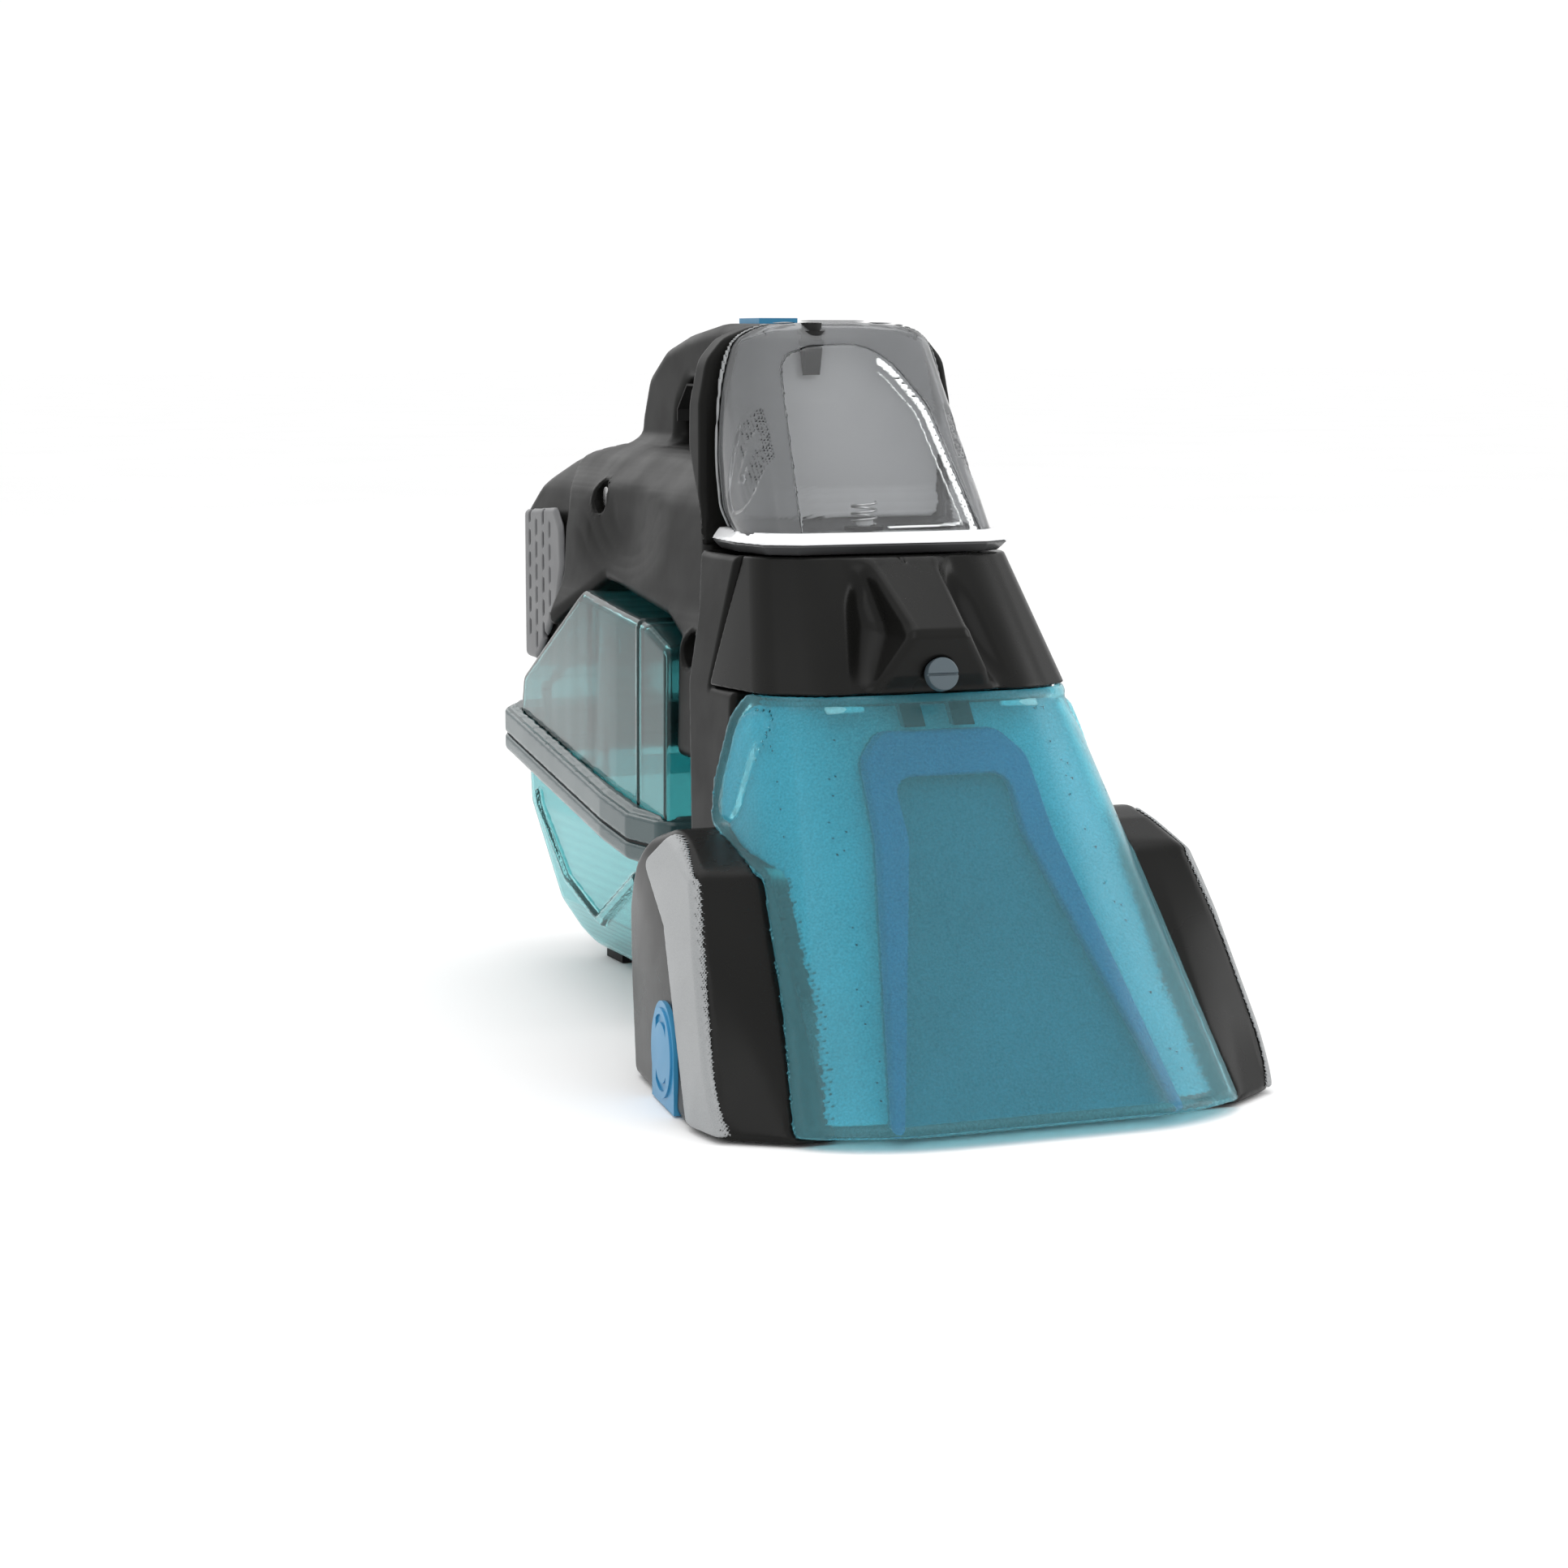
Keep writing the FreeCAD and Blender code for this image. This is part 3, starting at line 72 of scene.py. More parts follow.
def softened(points, radius, steps=6):
    """An outline with arcs for corners; a point may carry its own radius as a third number."""
    result = []
    total = len(points)
    for index, point in enumerate(points):
        here = np.array(point[:2], float)
        back = np.array(points[index - 1][:2], float) - here
        ahead = np.array(points[(index + 1) % total][:2], float) - here
        length_back, length_ahead = np.linalg.norm(back), np.linalg.norm(ahead)
        back, ahead = back / length_back, ahead / length_ahead
        turn = math.acos(float(np.clip(back @ ahead, -1, 1)))
        size = point[2] if len(point) > 2 else radius
        reach = min(size / math.tan(turn / 2), 0.48 * length_back, 0.48 * length_ahead)
        if reach < 0.05 or turn > math.radians(178):
            result.append(tuple(here))
            continue
        first, last = here + back * reach, here + ahead * reach
        middle = (first + last) / 2
        bow = reach * math.tan(turn / 2)
        centre = here + (middle - here) / np.linalg.norm(middle - here) * (reach / math.cos(turn / 2))
        start = math.atan2(*(first - centre)[::-1])
        sweep = (math.atan2(*(last - centre)[::-1]) - start + math.pi) % (2 * math.pi) - math.pi
        for step in range(steps + 1):
            angle = start + sweep * step / steps
            result.append((centre[0] + bow * math.cos(angle), centre[1] + bow * math.sin(angle)))
    return result


def both_ways(points):
    """Mirror the right half of an outline about its upright axis."""
    return list(points) + [(-point[0], *point[1:]) for point in reversed(points)]


def outline_distance(points, across, along):
    """Signed distance to a closed outline, negative inside."""
    nearest = np.full(np.broadcast(across, along).shape, np.inf)
    inside = np.zeros(nearest.shape, bool)
    for (ax, ay), (bx, by) in zip(points, points[1:] + points[:1]):
        run, rise = bx - ax, by - ay
        length_squared = run * run + rise * rise + TINY
        share = np.clip(((across - ax) * run + (along - ay) * rise) / length_squared, 0, 1)
        nearest = np.minimum(nearest, (across - ax - run * share) ** 2 + (along - ay - rise * share) ** 2)
        if rise:
            inside ^= ((ay > along) != (by > along)) & (across < ax + (along - ay) * run / rise)
    return np.where(inside, -1, 1) * np.sqrt(nearest)


def meet(radius, *fields):
    """What all the solids share, with the new edge rounded."""
    result = fields[0]
    for field in fields[1:]:
        if radius:
            result = np.minimum(-radius, np.maximum(result, field)) + np.hypot(
                np.maximum(result + radius, 0), np.maximum(field + radius, 0))
        else:
            result = np.maximum(result, field)
    return result


def join(radius, *fields):
    """All the solids together, with a fillet of that radius between them."""
    return -meet(radius, *[-field for field in fields])


def carve(radius, base, *tools):
    """A solid with others taken out of it."""
    for tool in tools:
        base = meet(radius, base, -tool)
    return base


def smooth_object(name, points, faces):
    """A new object in the scene with smooth faces, from points in metres."""
    data = bpy.data.meshes.new(name)
    data.from_pydata(points, [], faces)
    data.polygons.foreach_set("use_smooth", np.ones(len(data.polygons), bool))
    thing = bpy.data.objects.new(name, data)
    bpy.context.scene.collection.objects.link(thing)
    return thing


class Space:
    """A block of points in millimetres on which solids are described."""

    def __init__(self, low, high, step):
        self.low, self.step = np.array(low, float) - step * GRID_SHIFT, step
        axes = [first + step * np.arange(int((last - first) / step) + 3)
                for first, last in zip(self.low, high)]
        self.x, self.y, self.z = axes[0][:, None, None], axes[1][None, :, None], axes[2][None, None, :]
        self.shape = tuple(len(axis) for axis in axes)

    def side(self, points, radius=0):
        return outline_distance(softened(points, radius), self.y, self.z)

    def front(self, points, radius=0):
        return outline_distance(softened(points, radius), self.x, self.z)

    def plan(self, points, radius=0):
        return outline_distance(softened(points, radius), self.x, self.y)

    def plane(self, first, second, third, within=(0, 200, 60)):
        """Distance beyond a plane through three points, the same on both sides of the machine."""
        first, second, third = (np.array(point, float) for point in (first, second, third))
        normal = np.cross(second - first, third - first)
        normal /= np.linalg.norm(normal)
        if normal @ (np.array(within) - first) > 0:
            normal = -normal
        return normal[0] * np.abs(self.x) + normal[1] * self.y + normal[2] * self.z - normal @ first

    def rod(self, axis, centre, radius):
        """An endless round bar along one axis."""
        across = [value - middle for value, middle, name in zip((self.x, self.y, self.z), centre, "xyz")
                  if name != axis]
        return np.hypot(*across) - radius

    def between(self, axis, low, high):
        """Everything between two planes square to an axis."""
        value = getattr(self, axis)
        return np.maximum(low - value, value - high)

    def ball(self, centre, radii):
        """An ellipsoid, with a distance that is only rough away from its surface."""
        scaled = np.sqrt(sum(((value - middle) / radius) ** 2
                             for value, middle, radius in zip((self.x, self.y, self.z), centre, radii)))
        return (scaled - 1) * min(radii)

    def sample(self, field, points):
        """Values of a field between its points."""
        spot = np.clip(points, 0, np.array(self.shape) - 1.001)
        cell = spot.astype(int)
        share = spot - cell
        total = 0
        for dx in (0, 1):
            for dy in (0, 1):
                for dz in (0, 1):
                    weight = np.abs(1 - dx - share[:, 0]) * np.abs(1 - dy - share[:, 1]) \
                        * np.abs(1 - dz - share[:, 2])
                    total = total + weight * field[cell[:, 0] + dx, cell[:, 1] + dy, cell[:, 2] + dz]
        return total

    def slopes(self, field, points):
        """Directions in which a field grows, as unit vectors."""
        columns = []
        for axis in range(3):
            offset = np.zeros(3)
            offset[axis] = 0.5
            columns.append(self.sample(field, points + offset) - self.sample(field, points - offset))
        slope = np.stack(columns, 1)
        return slope / np.maximum(np.linalg.norm(slope, axis=1, keepdims=True), 1e-9)

    def mesh(self, name, field):
        """The surface of a solid as an object, in metres."""
        field = np.array(np.broadcast_to(field, self.shape), float)
        for axis in range(3):
            for end in (0, -1):
                edge = [slice(None)] * 3
                edge[axis] = end
                field[tuple(edge)] = self.step
        cells = np.array(self.shape) - 1
        totals, counts, quads = np.zeros((cells.prod(), 3)), np.zeros(cells.prod()), []
        inside = field < 0
        for axis in range(3):
            low, high = [slice(None)] * 3, [slice(None)] * 3
            low[axis], high[axis] = slice(0, -1), slice(1, None)
            changes = inside[tuple(low)] != inside[tuple(high)]
            start, end = field[tuple(low)][changes], field[tuple(high)][changes]
            spots = np.argwhere(changes)
            crossing = spots.astype(float)
            crossing[:, axis] += start / (start - end)
            across = [other for other in range(3) if other != axis]
            corners = []
            for steps in ((-1, -1), (0, -1), (0, 0), (-1, 0)):
                cell = spots.copy()
                cell[:, across[0]] += steps[0]
                cell[:, across[1]] += steps[1]
                index = np.ravel_multi_index(cell.T, cells)
                corners.append(index)
                counts += np.bincount(index, minlength=len(counts))
                for column in range(3):
                    totals[:, column] += np.bincount(index, crossing[:, column], minlength=len(counts))
            faces = np.stack(corners, 1)
            turned = (start > 0) != (axis == 1)
            faces[turned] = faces[turned][:, ::-1]
            quads.append(faces)
        used = counts > 0
        points = totals[used] / counts[used, None]
        renumber = np.cumsum(used) - 1
        for _ in range(2):
            miss = self.sample(field, points)
            points -= np.clip(miss / self.step, -0.4, 0.4)[:, None] * self.slopes(field, points)
        normals = self.slopes(field, points)
        places = (points * self.step + self.low + np.array([0, LIP_Y, 0])) * MM
        thing = smooth_object(name, places.tolist(), renumber[np.concatenate(quads)].tolist())
        thing.data.normals_split_custom_set_from_vertices(normals.tolist())
        return thing


# ---------------------------------------------------------------- materials

def nodes_of(name):
    """A new material with its node tree, its shader and its object coordinates."""
    look = bpy.data.materials.new(name)
    look.use_nodes = True
    tree = look.node_tree
    shader = tree.nodes["Principled BSDF"]
    spot = tree.nodes.new("ShaderNodeTexCoord")
    return look, tree, shader, spot.outputs["Object"]


def noise(tree, spot, scale, detail=3, stretch=None):
    """Noise of so many waves per metre."""
    if stretch:
        mapping = tree.nodes.new("ShaderNodeMapping")
        mapping.inputs["Scale"].default_value = stretch
        tree.links.new(spot, mapping.inputs["Vector"])
        spot = mapping.outputs["Vector"]
    texture = tree.nodes.new("ShaderNodeTexNoise")
    texture.inputs["Scale"].default_value = scale
    texture.inputs["Detail"].default_value = detail
    tree.links.new(spot, texture.inputs["Vector"])
    return texture.outputs["Fac"]


def ramp(tree, value, *stops):
    """A colour ramp from a value."""
    node = tree.nodes.new("ShaderNodeValToRGB")
    band = node.color_ramp
    while len(band.elements) < len(stops):
        band.elements.new(0.5)
    for element, (position, colour) in zip(band.elements, stops):
        element.position = position
        element.color = (*colour, 1)
    tree.links.new(value, node.inputs["Fac"])
    return node.outputs["Color"]


def spread(tree, value, low, high):
    """Map noise, which lies mostly between 0.3 and 0.7, to a range."""
    node = tree.nodes.new("ShaderNodeMapRange")
    node.inputs["From Min"].default_value = 0.3
    node.inputs["From Max"].default_value = 0.7
    node.inputs["To Min"].default_value = low
    node.inputs["To Max"].default_value = high
    tree.links.new(value, node.inputs["Value"])
    return node.outputs["Result"]


def bump(tree, height, strength, distance):
    """A bump from a height."""
    node = tree.nodes.new("ShaderNodeBump")
    node.inputs["Strength"].default_value = strength
    node.inputs["Distance"].default_value = distance
    tree.links.new(height, node.inputs["Height"])
    return node.outputs["Normal"]


def multiply(tree, first, second):
    """One colour times another."""
    mix = tree.nodes.new("ShaderNodeMix")
    mix.data_type, mix.blend_type = "RGBA", "MULTIPLY"
    mix.inputs["Factor"].default_value = 1
    tree.links.new(first, mix.inputs["A"])
    tree.links.new(second, mix.inputs["B"])
    return mix.outputs["Result"]


def painted_light_falloff(tree, spot, low, high):
    """Painted light and shade: a colour that darkens across the machine from one place to another, in
    metres.
    """
    parts = tree.nodes.new("ShaderNodeSeparateXYZ")
    tree.links.new(spot, parts.inputs["Vector"])
    level = tree.nodes.new("ShaderNodeMapRange")
    level.inputs["From Min"].default_value = low
    level.inputs["From Max"].default_value = high
    tree.links.new(parts.outputs["X"], level.inputs["Value"])
    return ramp(tree, level.outputs["Result"], (0.0, (1.0, 1.0, 1.0)), (0.35, (0.75, 0.75, 0.75)),
                (1.0, (0.42, 0.42, 0.42)))


def scaled(colour, factor):
    """A colour made lighter or darker."""
    return tuple(min(1, part * factor) for part in colour)


def moulded(name, colour, rough=(0.3, 0.42), grain=2600, depth=0.00002, strength=0.25, shift=0.12,
            metal=0.0, coat=0.0, through=0.0, index=1.46, stretch=None, speckle=0.0, shine=0.5, painted_falloff=None):
    """Moulded plastic, rubber or metal with a fine grain, a slow change of colour and gloss and, if asked,
    painted light and shade that darkens across x.
    """
    look, tree, shader, spot = nodes_of(name)
    slow = noise(tree, spot, 18, 4)
    fine = noise(tree, spot, grain, 2, stretch)
    colours = ramp(tree, slow, (0.3, scaled(colour, 1 - shift)), (0.7, scaled(colour, 1 + shift)))
    if speckle:
        grains = ramp(tree, fine, (0.35, (1 - speckle,) * 3), (0.65, (1, 1, 1)))
        colours = multiply(tree, colours, grains)
    # painted light and shade: the colour is darkened across x, as light falls less towards one side
    if painted_falloff:
        colours = multiply(tree, colours, painted_light_falloff(tree, spot, *painted_falloff))
    tree.links.new(colours, shader.inputs["Base Color"])
    patches = noise(tree, spot, 45, 5)
    tree.links.new(spread(tree, patches, *rough), shader.inputs["Roughness"])
    tree.links.new(bump(tree, fine, strength, depth), shader.inputs["Normal"])
    shader.inputs["Metallic"].default_value = metal
    shader.inputs["Coat Weight"].default_value = coat
    shader.inputs["Transmission Weight"].default_value = through
    shader.inputs["IOR"].default_value = index
    shader.inputs["Specular IOR Level"].default_value = shine
    return look


BLACK = moulded("black_plastic", (0.006, 0.006, 0.0056), (0.34, 0.44), 3200, 0.00001, 0.25, shine=0.1)
BLACK_SATIN = moulded("black_satin", (0.0075, 0.0075, 0.007), (0.24, 0.32), 2400, 0.000008, 0.2, shine=0.15)
BLACK_GLOSS = moulded("black_gloss", (0.006, 0.006, 0.006), (0.14, 0.22), 1500, 0.000005, 0.1, shine=0.3)
RUBBER = moulded("dark_rubber", (0.01, 0.01, 0.01), (0.5, 0.7), 1800, 0.00003, 0.4, shine=0.2)
TIP_GREY = moulded("tip_grey", (0.07, 0.095, 0.11), (0.3, 0.4), 2200, 0.00001, 0.2)
GREY_TRIM = moulded("grey_trim", (0.30, 0.31, 0.315), (0.3, 0.4), 2600, 0.00002, 0.35, 0.05, speckle=0.15)
GREY_VENT = moulded("grey_vent", (0.115, 0.117, 0.121), (0.38, 0.48), 2200, 0.00002, 0.4, 0.05)
SILVER = moulded("silver_bezel", (0.80, 0.81, 0.82), (0.18, 0.28), 2400, 0.000008, 0.2, 0.03, coat=0.4)
# Dark grey for the bezel's lower facet: painted shade on the same silver band.
BEZEL_PAINTED_SHADE = moulded("bezel_painted_shade", (0.055, 0.056, 0.058), (0.25, 0.35), 2400, 0.000008, 0.2, 0.05)
BLUE = moulded("blue_plastic", (0.035, 0.24, 0.44), (0.3, 0.4), 2400, 0.00001, 0.25)
FROSTED = moulded("frosted_teal", (0.32, 0.80, 0.90), (0.16, 0.22), 1300, 0.00003, 0.45, 0.03,
                  through=0.9, index=1.25, speckle=0.2, shine=0.3)
LINER = moulded("teal_liner", (0.16, 0.66, 0.76), (0.4, 0.5), 1500, 0.00002, 0.3, 0.1, through=0.15,
                speckle=0.1, shine=0.25)
CHANNEL_BLUE = moulded("channel_blue", (0.02, 0.16, 0.38), (0.3, 0.4), 1800, 0.00002, 0.3, 0.08,
                       speckle=0.1, shine=0.25)
CHANNEL_DEEP = moulded("channel_deep", (0.0, 0.16, 0.23), (0.3, 0.42), 1800, 0.00002, 0.3, 0.1, speckle=0.1,
                       shine=0.2)
SMOKE = moulded("smoke_clear", (0.42, 0.43, 0.44), (0.1, 0.16), 700, 0.00001, 0.1, 0.06, through=0.8,
                index=1.33)
WINDOW = moulded("window_clear", (0.90, 0.91, 0.92), (0.04, 0.08), 700, 0.00001, 0.1, 0.02, through=0.97,
                 index=1.33)
# Back panel seen through the tank, with painted light: lighter towards +x, darker towards -x.
TANK_BACKING = moulded("tank_backing_painted_light", (0.84, 0.85, 0.86), (0.3, 0.4), 900, 0.00001, 0.15, 0.06,
                       painted_falloff=(0.042, -0.042))
TEAL = moulded("teal_clear", (0.25, 0.62, 0.64), (0.05, 0.1), 600, 0.00001, 0.12, 0.04, through=0.95,
               index=1.33)
TEAL_LID = moulded("teal_lid", (0.15, 0.37, 0.38), (0.05, 0.1), 600, 0.00001, 0.12, 0.06, through=0.97,
                   index=1.33, shine=0.3)
TEAL_DARK = moulded("teal_flange", (0.035, 0.075, 0.08), (0.16, 0.24), 1200, 0.00001, 0.2, 0.08,
                    through=0.25)
STEEL = moulded("brushed_steel", (0.6, 0.6, 0.6), (0.25, 0.38), 900, 0.00001, 0.3, 0.06, metal=1.0,
                stretch=(1, 12, 12))
NYLON = moulded("white_nylon", (0.84, 0.86, 0.86), (0.35, 0.5), 1800, 0.00001, 0.2, 0.04)
CELL_WRAP = moulded("cell_wrap", (0.08, 0.3, 0.16), (0.25, 0.35), 1600, 0.00001, 0.2)
BOARD_GREEN = moulded("board_green", (0.03, 0.16, 0.07), (0.3, 0.4), 1500, 0.00002, 0.4, 0.2)
BRISTLE = moulded("bristle_blue", (0.08, 0.26, 0.46), (0.4, 0.55), 3000, 0.00002, 0.4, 0.2)

SLOT_LOOKS = {
    "black_plastic": BLACK, "black_gloss": BLACK_GLOSS, "dark_rubber": RUBBER, "clear_smoke": SMOKE,
    "silver_bezel": SILVER, "teal_frost": FROSTED, "teal_clear": TEAL, "blue_channel": CHANNEL_BLUE,
    "blue_plastic": BLUE, "grey_trim": GREY_TRIM, "grey_plastic": GREY_VENT, "tip_grey": TIP_GREY,
    "steel": STEEL, "motor_can": STEEL, "board_green": BOARD_GREEN, "cell_wrap": CELL_WRAP, "nylon": NYLON,
    "white_tube": NYLON, "bristle_blue": BRISTLE}
NODE_SLOT = {part["node"]: part["material_slot"] for part in frame["record"]["subparts"]}
NODE_BODY = {name: body for body, names in frame["record"]["behaviour"]["bodies"].items() for name in names}


def fit(piece, look, node):
    """Give a new piece its look, and let it stand for a CAD node and ride on its body."""
    piece.data.materials.append(look)
    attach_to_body(piece, NODE_BODY[node])
    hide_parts(node)


def attach(piece, look, node):
    """Give a new piece its look and let it ride with a CAD node, which another piece stands for."""
    piece.data.materials.append(look)
    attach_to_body(piece, NODE_BODY[node])


# ---------------------------------------------------------------- suction nozzle

NOSE_SLOPE = 0.7
LIP_HEIGHT = 1.5
NOZZLE_TOP = 139.7
NOZZLE_SIDE = [(-10, 5.2, 0.5), (24, 3, 4), (50, 41, 60), (80, 80, 8), (103, 86, 10),
               (122, 95, 8), (127, 108, 12), (128, 131, 10), (121, NOZZLE_TOP, 1.5), (-10, NOZZLE_TOP, 0.5)]
NOZZLE_WALL = 2.7
GRIP_PAD = [(106, 96), (118, 96), (122, 102), (123.5, 128), (119, 135), (109, 135), (106, 131)]
CHANNEL_TOP = 118
CHANNEL_FRONT = 3.1  # how far the channel's frame lies behind the nozzle's sloping face
CHANNEL_FLOOR = 9
CHANNEL_LOW = 4.6
NECK_HEIGHT = 92


def nose(space, offset=0):
    """Distance in front of the sloping face, moved back by an offset along y."""
    return (NOSE_SLOPE * (space.z - LIP_HEIGHT) + offset - space.y) / math.hypot(1, NOSE_SLOPE)


def nozzle_body(space, front=0, side=0):
    """The nozzle's outer skin without its ends, drawn in at its front and at its sides."""
    facet = space.plane((57, 0, LIP_HEIGHT), (86, 21, LIP_HEIGHT), (41, 96.7, NOZZLE_TOP))
    flank = space.plane((86, 21, LIP_HEIGHT), (92, 61, LIP_HEIGHT), (60, 111.2, NOZZLE_TOP))
    return meet(9, nose(space) + front, meet(9, facet + side, flank + side))


def suction_nozzle():
    """Frosted shell with a rounded rim and a finger pad at each side; the slots along its top come with the
    channel.
    """
    space = Space((-96, -3, -1), (96, 132, 142), 1.25)
    outside = nozzle_body(space)
    ends = space.side(NOZZLE_SIDE)
    pad = space.side(GRIP_PAD, 6)
    groove = meet(0.4, np.abs(pad) - 0.9, -1 - outside, 50 - np.abs(space.x))
    shell = meet(0.8, outside, -(outside + NOZZLE_WALL))
    rim = meet(0.5, outside - 0.7, -(outside + NOZZLE_WALL), -(ends + 3.2))
    shell = join(0.6, shell, rim)
    raised = meet(0.6, outside - 0.8, -(outside + 1), pad + 1.6, 50 - np.abs(space.x))
    shell = join(0.4, carve(0.3, shell, groove), raised)
    shell = meet(0.6, shell, ends)
    fit(space.mesh("nozzle_shell", shell), FROSTED, "suction_nozzle")


def channel():
    """Raised frame round the flat channel, the panel behind it and the slots above it."""
    space = Space((-66, 0, 0), (66, 118, 136), 1.1)
    inside_shell = nozzle_body(space) + CHANNEL_FRONT
    frame_edge = space.front(both_ways([
        (54.2, LIP_HEIGHT, 0.5), (33, NECK_HEIGHT, 25), (31, CHANNEL_TOP, 8), (22, CHANNEL_TOP + 9, 8)]))
    hollow = space.front(both_ways([
        (51, -4), (51, LIP_HEIGHT), (22, NECK_HEIGHT, 25), (22, CHANNEL_TOP - 6, 6)]))
    depth = -nose(space)
    rim = meet(1, frame_edge, -hollow, CHANNEL_FRONT - depth, depth - CHANNEL_FLOOR, inside_shell,
               CHANNEL_LOW - space.z)
    fit(space.mesh("channel_frame", rim), CHANNEL_BLUE, "nozzle_channel")
    panel = meet(0.4, frame_edge + 0.6, CHANNEL_FLOOR + 0.1 - depth, depth - CHANNEL_FLOOR - 2.5,
                 inside_shell, CHANNEL_LOW - space.z)
    attach(space.mesh("channel_back", panel), CHANNEL_DEEP, "nozzle_channel")
    bars = []
    for low, high in ((-41, -26), (26, 41)):
        bars.append(meet(0.3, space.between("x", low, high), space.between("z", 133.6, 136.2),
                         CHANNEL_FRONT - depth, depth - 5.5))
    attach(space.mesh("nozzle_slots", join(0, *bars)), NYLON, "nozzle_channel")


def nozzle_liner():
    """Light inner skin of the nozzle, behind the channel."""
    space = Space((-88, 8, 2), (88, 128, 139), 1.2)
    sheet = meet(0.5, np.abs(nozzle_body(space, 13.6, 4.4)) - 1.6, space.side(NOZZLE_SIDE) + 2.5)
    attach(space.mesh("nozzle_liner", sheet), LINER, "suction_nozzle")


# ---------------------------------------------------------------- front housing

CRADLE = 186.3
FRONT_LOW = NOZZLE_TOP + 0.4
SPRAY_HEIGHT = 147.5
SPRAY_LEAN = math.radians(12)


def along_spray(space, start):
    """Distance along the spray tip's leaning axis from its start, and height above that axis."""
    back, rise = space.y - start, space.z - SPRAY_HEIGHT
    cosine, sine = math.cos(SPRAY_LEAN), math.sin(SPRAY_LEAN)
    return back * cosine - rise * sine, rise * cosine + back * sine


def front_housing():
    """Sloping cover with two scooped creases and a brow over the spray tip."""
    space = Space((-68, 84, 138), (68, 153, 193), 0.75)
    face = nose(space, 0.4)
    facet = space.plane((41, 97.1, FRONT_LOW), (60, 111.5, FRONT_LOW), (38, 132.6, CRADLE))
    flank = space.plane((60, 111.5, FRONT_LOW), (64, 129.5, FRONT_LOW), (49.4, 138.8, CRADLE))
    rear = space.plane((64, 129.5, FRONT_LOW), (64, 151.6, FRONT_LOW), (53, 150, CRADLE))
    skin = meet(4, face, meet(4, facet, meet(6, flank, rear)))
    bay = space.front(both_ways([(11, 187, 8), (22, 170, 16), (29.5, 134, 2)]), 6)
    skin = carve(5, skin, meet(5, bay, -(face + 2.4)))
    brow = meet(4, space.side([(127, 187), (91, 163, 3), (89.5, 160, 3), (93, 147, 3), (97, FRONT_LOW),
                               (150, FRONT_LOW), (150, 187)]),
                space.front(both_ways([(27.5, FRONT_LOW - 4), (12.5, 160, 4), (12, 164, 6), (15, 188, 4)])))
    solid = join(8, skin, brow)
    seam = meet(0.3, np.abs(space.x) - 0.8, -(solid + 1), 165 - space.z, face - 4)
    solid = carve(0.3, solid, seam)
    depth, height = along_spray(space, 88)
    socket = np.maximum(np.hypot(space.x, height) - 6.3, depth - 6)
    solid = carve(0.5, solid, socket)
    hollow = meet(1, skin + 3.2, space.z - (CRADLE - 3))
    solid = meet(0.8, solid, FRONT_LOW - space.z, space.z - CRADLE, space.y - 151.6)
    solid = carve(0.4, solid, meet(0, hollow, -(face + 9)))
    fit(space.mesh("front_cover", solid), BLACK_SATIN, "front_housing")


def spray_tip():
    """Slit disc on a thinner stem."""
    space = Space((-7, 84, 139), (7, 104, 156), 0.35)
    depth, height = along_spray(space, 88.5)
    disc = meet(0.5, np.hypot(space.x, height) - 5.9, -depth, depth - 4)
    stem = meet(0.3, np.hypot(space.x, height) - 3.5, 3 - depth, depth - 14)
    slit = meet(0, np.abs(height + 0.2) - 0.4, depth - 0.9)
    fit(space.mesh("spray_disc", carve(0.1, join(0.3, disc, stem), slit)), TIP_GREY, "spray_tip")


# ---------------------------------------------------------------- clean tank and bezel

TANK_BACK = 193.5
TANK_FOOT_BACK = 189.3
TANK_LOW = 190.3
TANK_TOP = 271.3
TANK_HALF = 50
TANK_WALL = 2.4
TANK_WINDOW = [(-34, 188), (-26.5, 257, 9), (-14, 261, 12), (13, 262, 26), (28.5, 239, 22), (38.5, 190)]
GRIP_ARROW = [(164.5, 212), (167.5, 212), (167.5, 224), (170, 224), (166, 231), (162, 224), (164.5, 224)]


def tank_body(space, back=0):
    """The clean tank's outer skin, with its back wall moved back."""
    base, crown, within = 188.3, 270.5, (0, 180, 230)
    front = space.plane((0, 131.5, base), (30, 131.5, base), (0, 183, crown), within)
    facet = space.plane((36, 131.5, base), (47.5, 139, base), (28.6, 183, crown), within)
    flank = space.plane((47.5, 139, base), (TANK_HALF, 162.5, base), (40.1, 190.5, crown), within)
    stern = space.front(both_ways([(37, 189, 3), (43, 202, 9), (45, 222, 20), (46, 250, 10), (42, 262, 10),
                                   (30, 269, 12), (9, TANK_TOP, 12)])) - 0.3 * np.maximum(193 - space.y, 0)
    side = space.side([(100, TANK_LOW, 1), (100, 240), (163, 240, 20), (172, 257, 26), (179, 265, 14),
                       (187, TANK_TOP, 12), (TANK_BACK + back, TANK_TOP, 0.5), (TANK_BACK + back, 208, 20),
                       (TANK_FOOT_BACK + back, TANK_LOW, 0.5)])
    above = space.front(both_ways([(TANK_HALF, TANK_LOW - 5), (TANK_HALF, 243, 20), (46.5, 256, 12),
                                   (39, 264.5, 12), (26, 269.6, 12), (9, TANK_TOP, 12)]))
    return meet(5, side, meet(3, above, stern, meet(8, front, meet(10, facet, flank))))


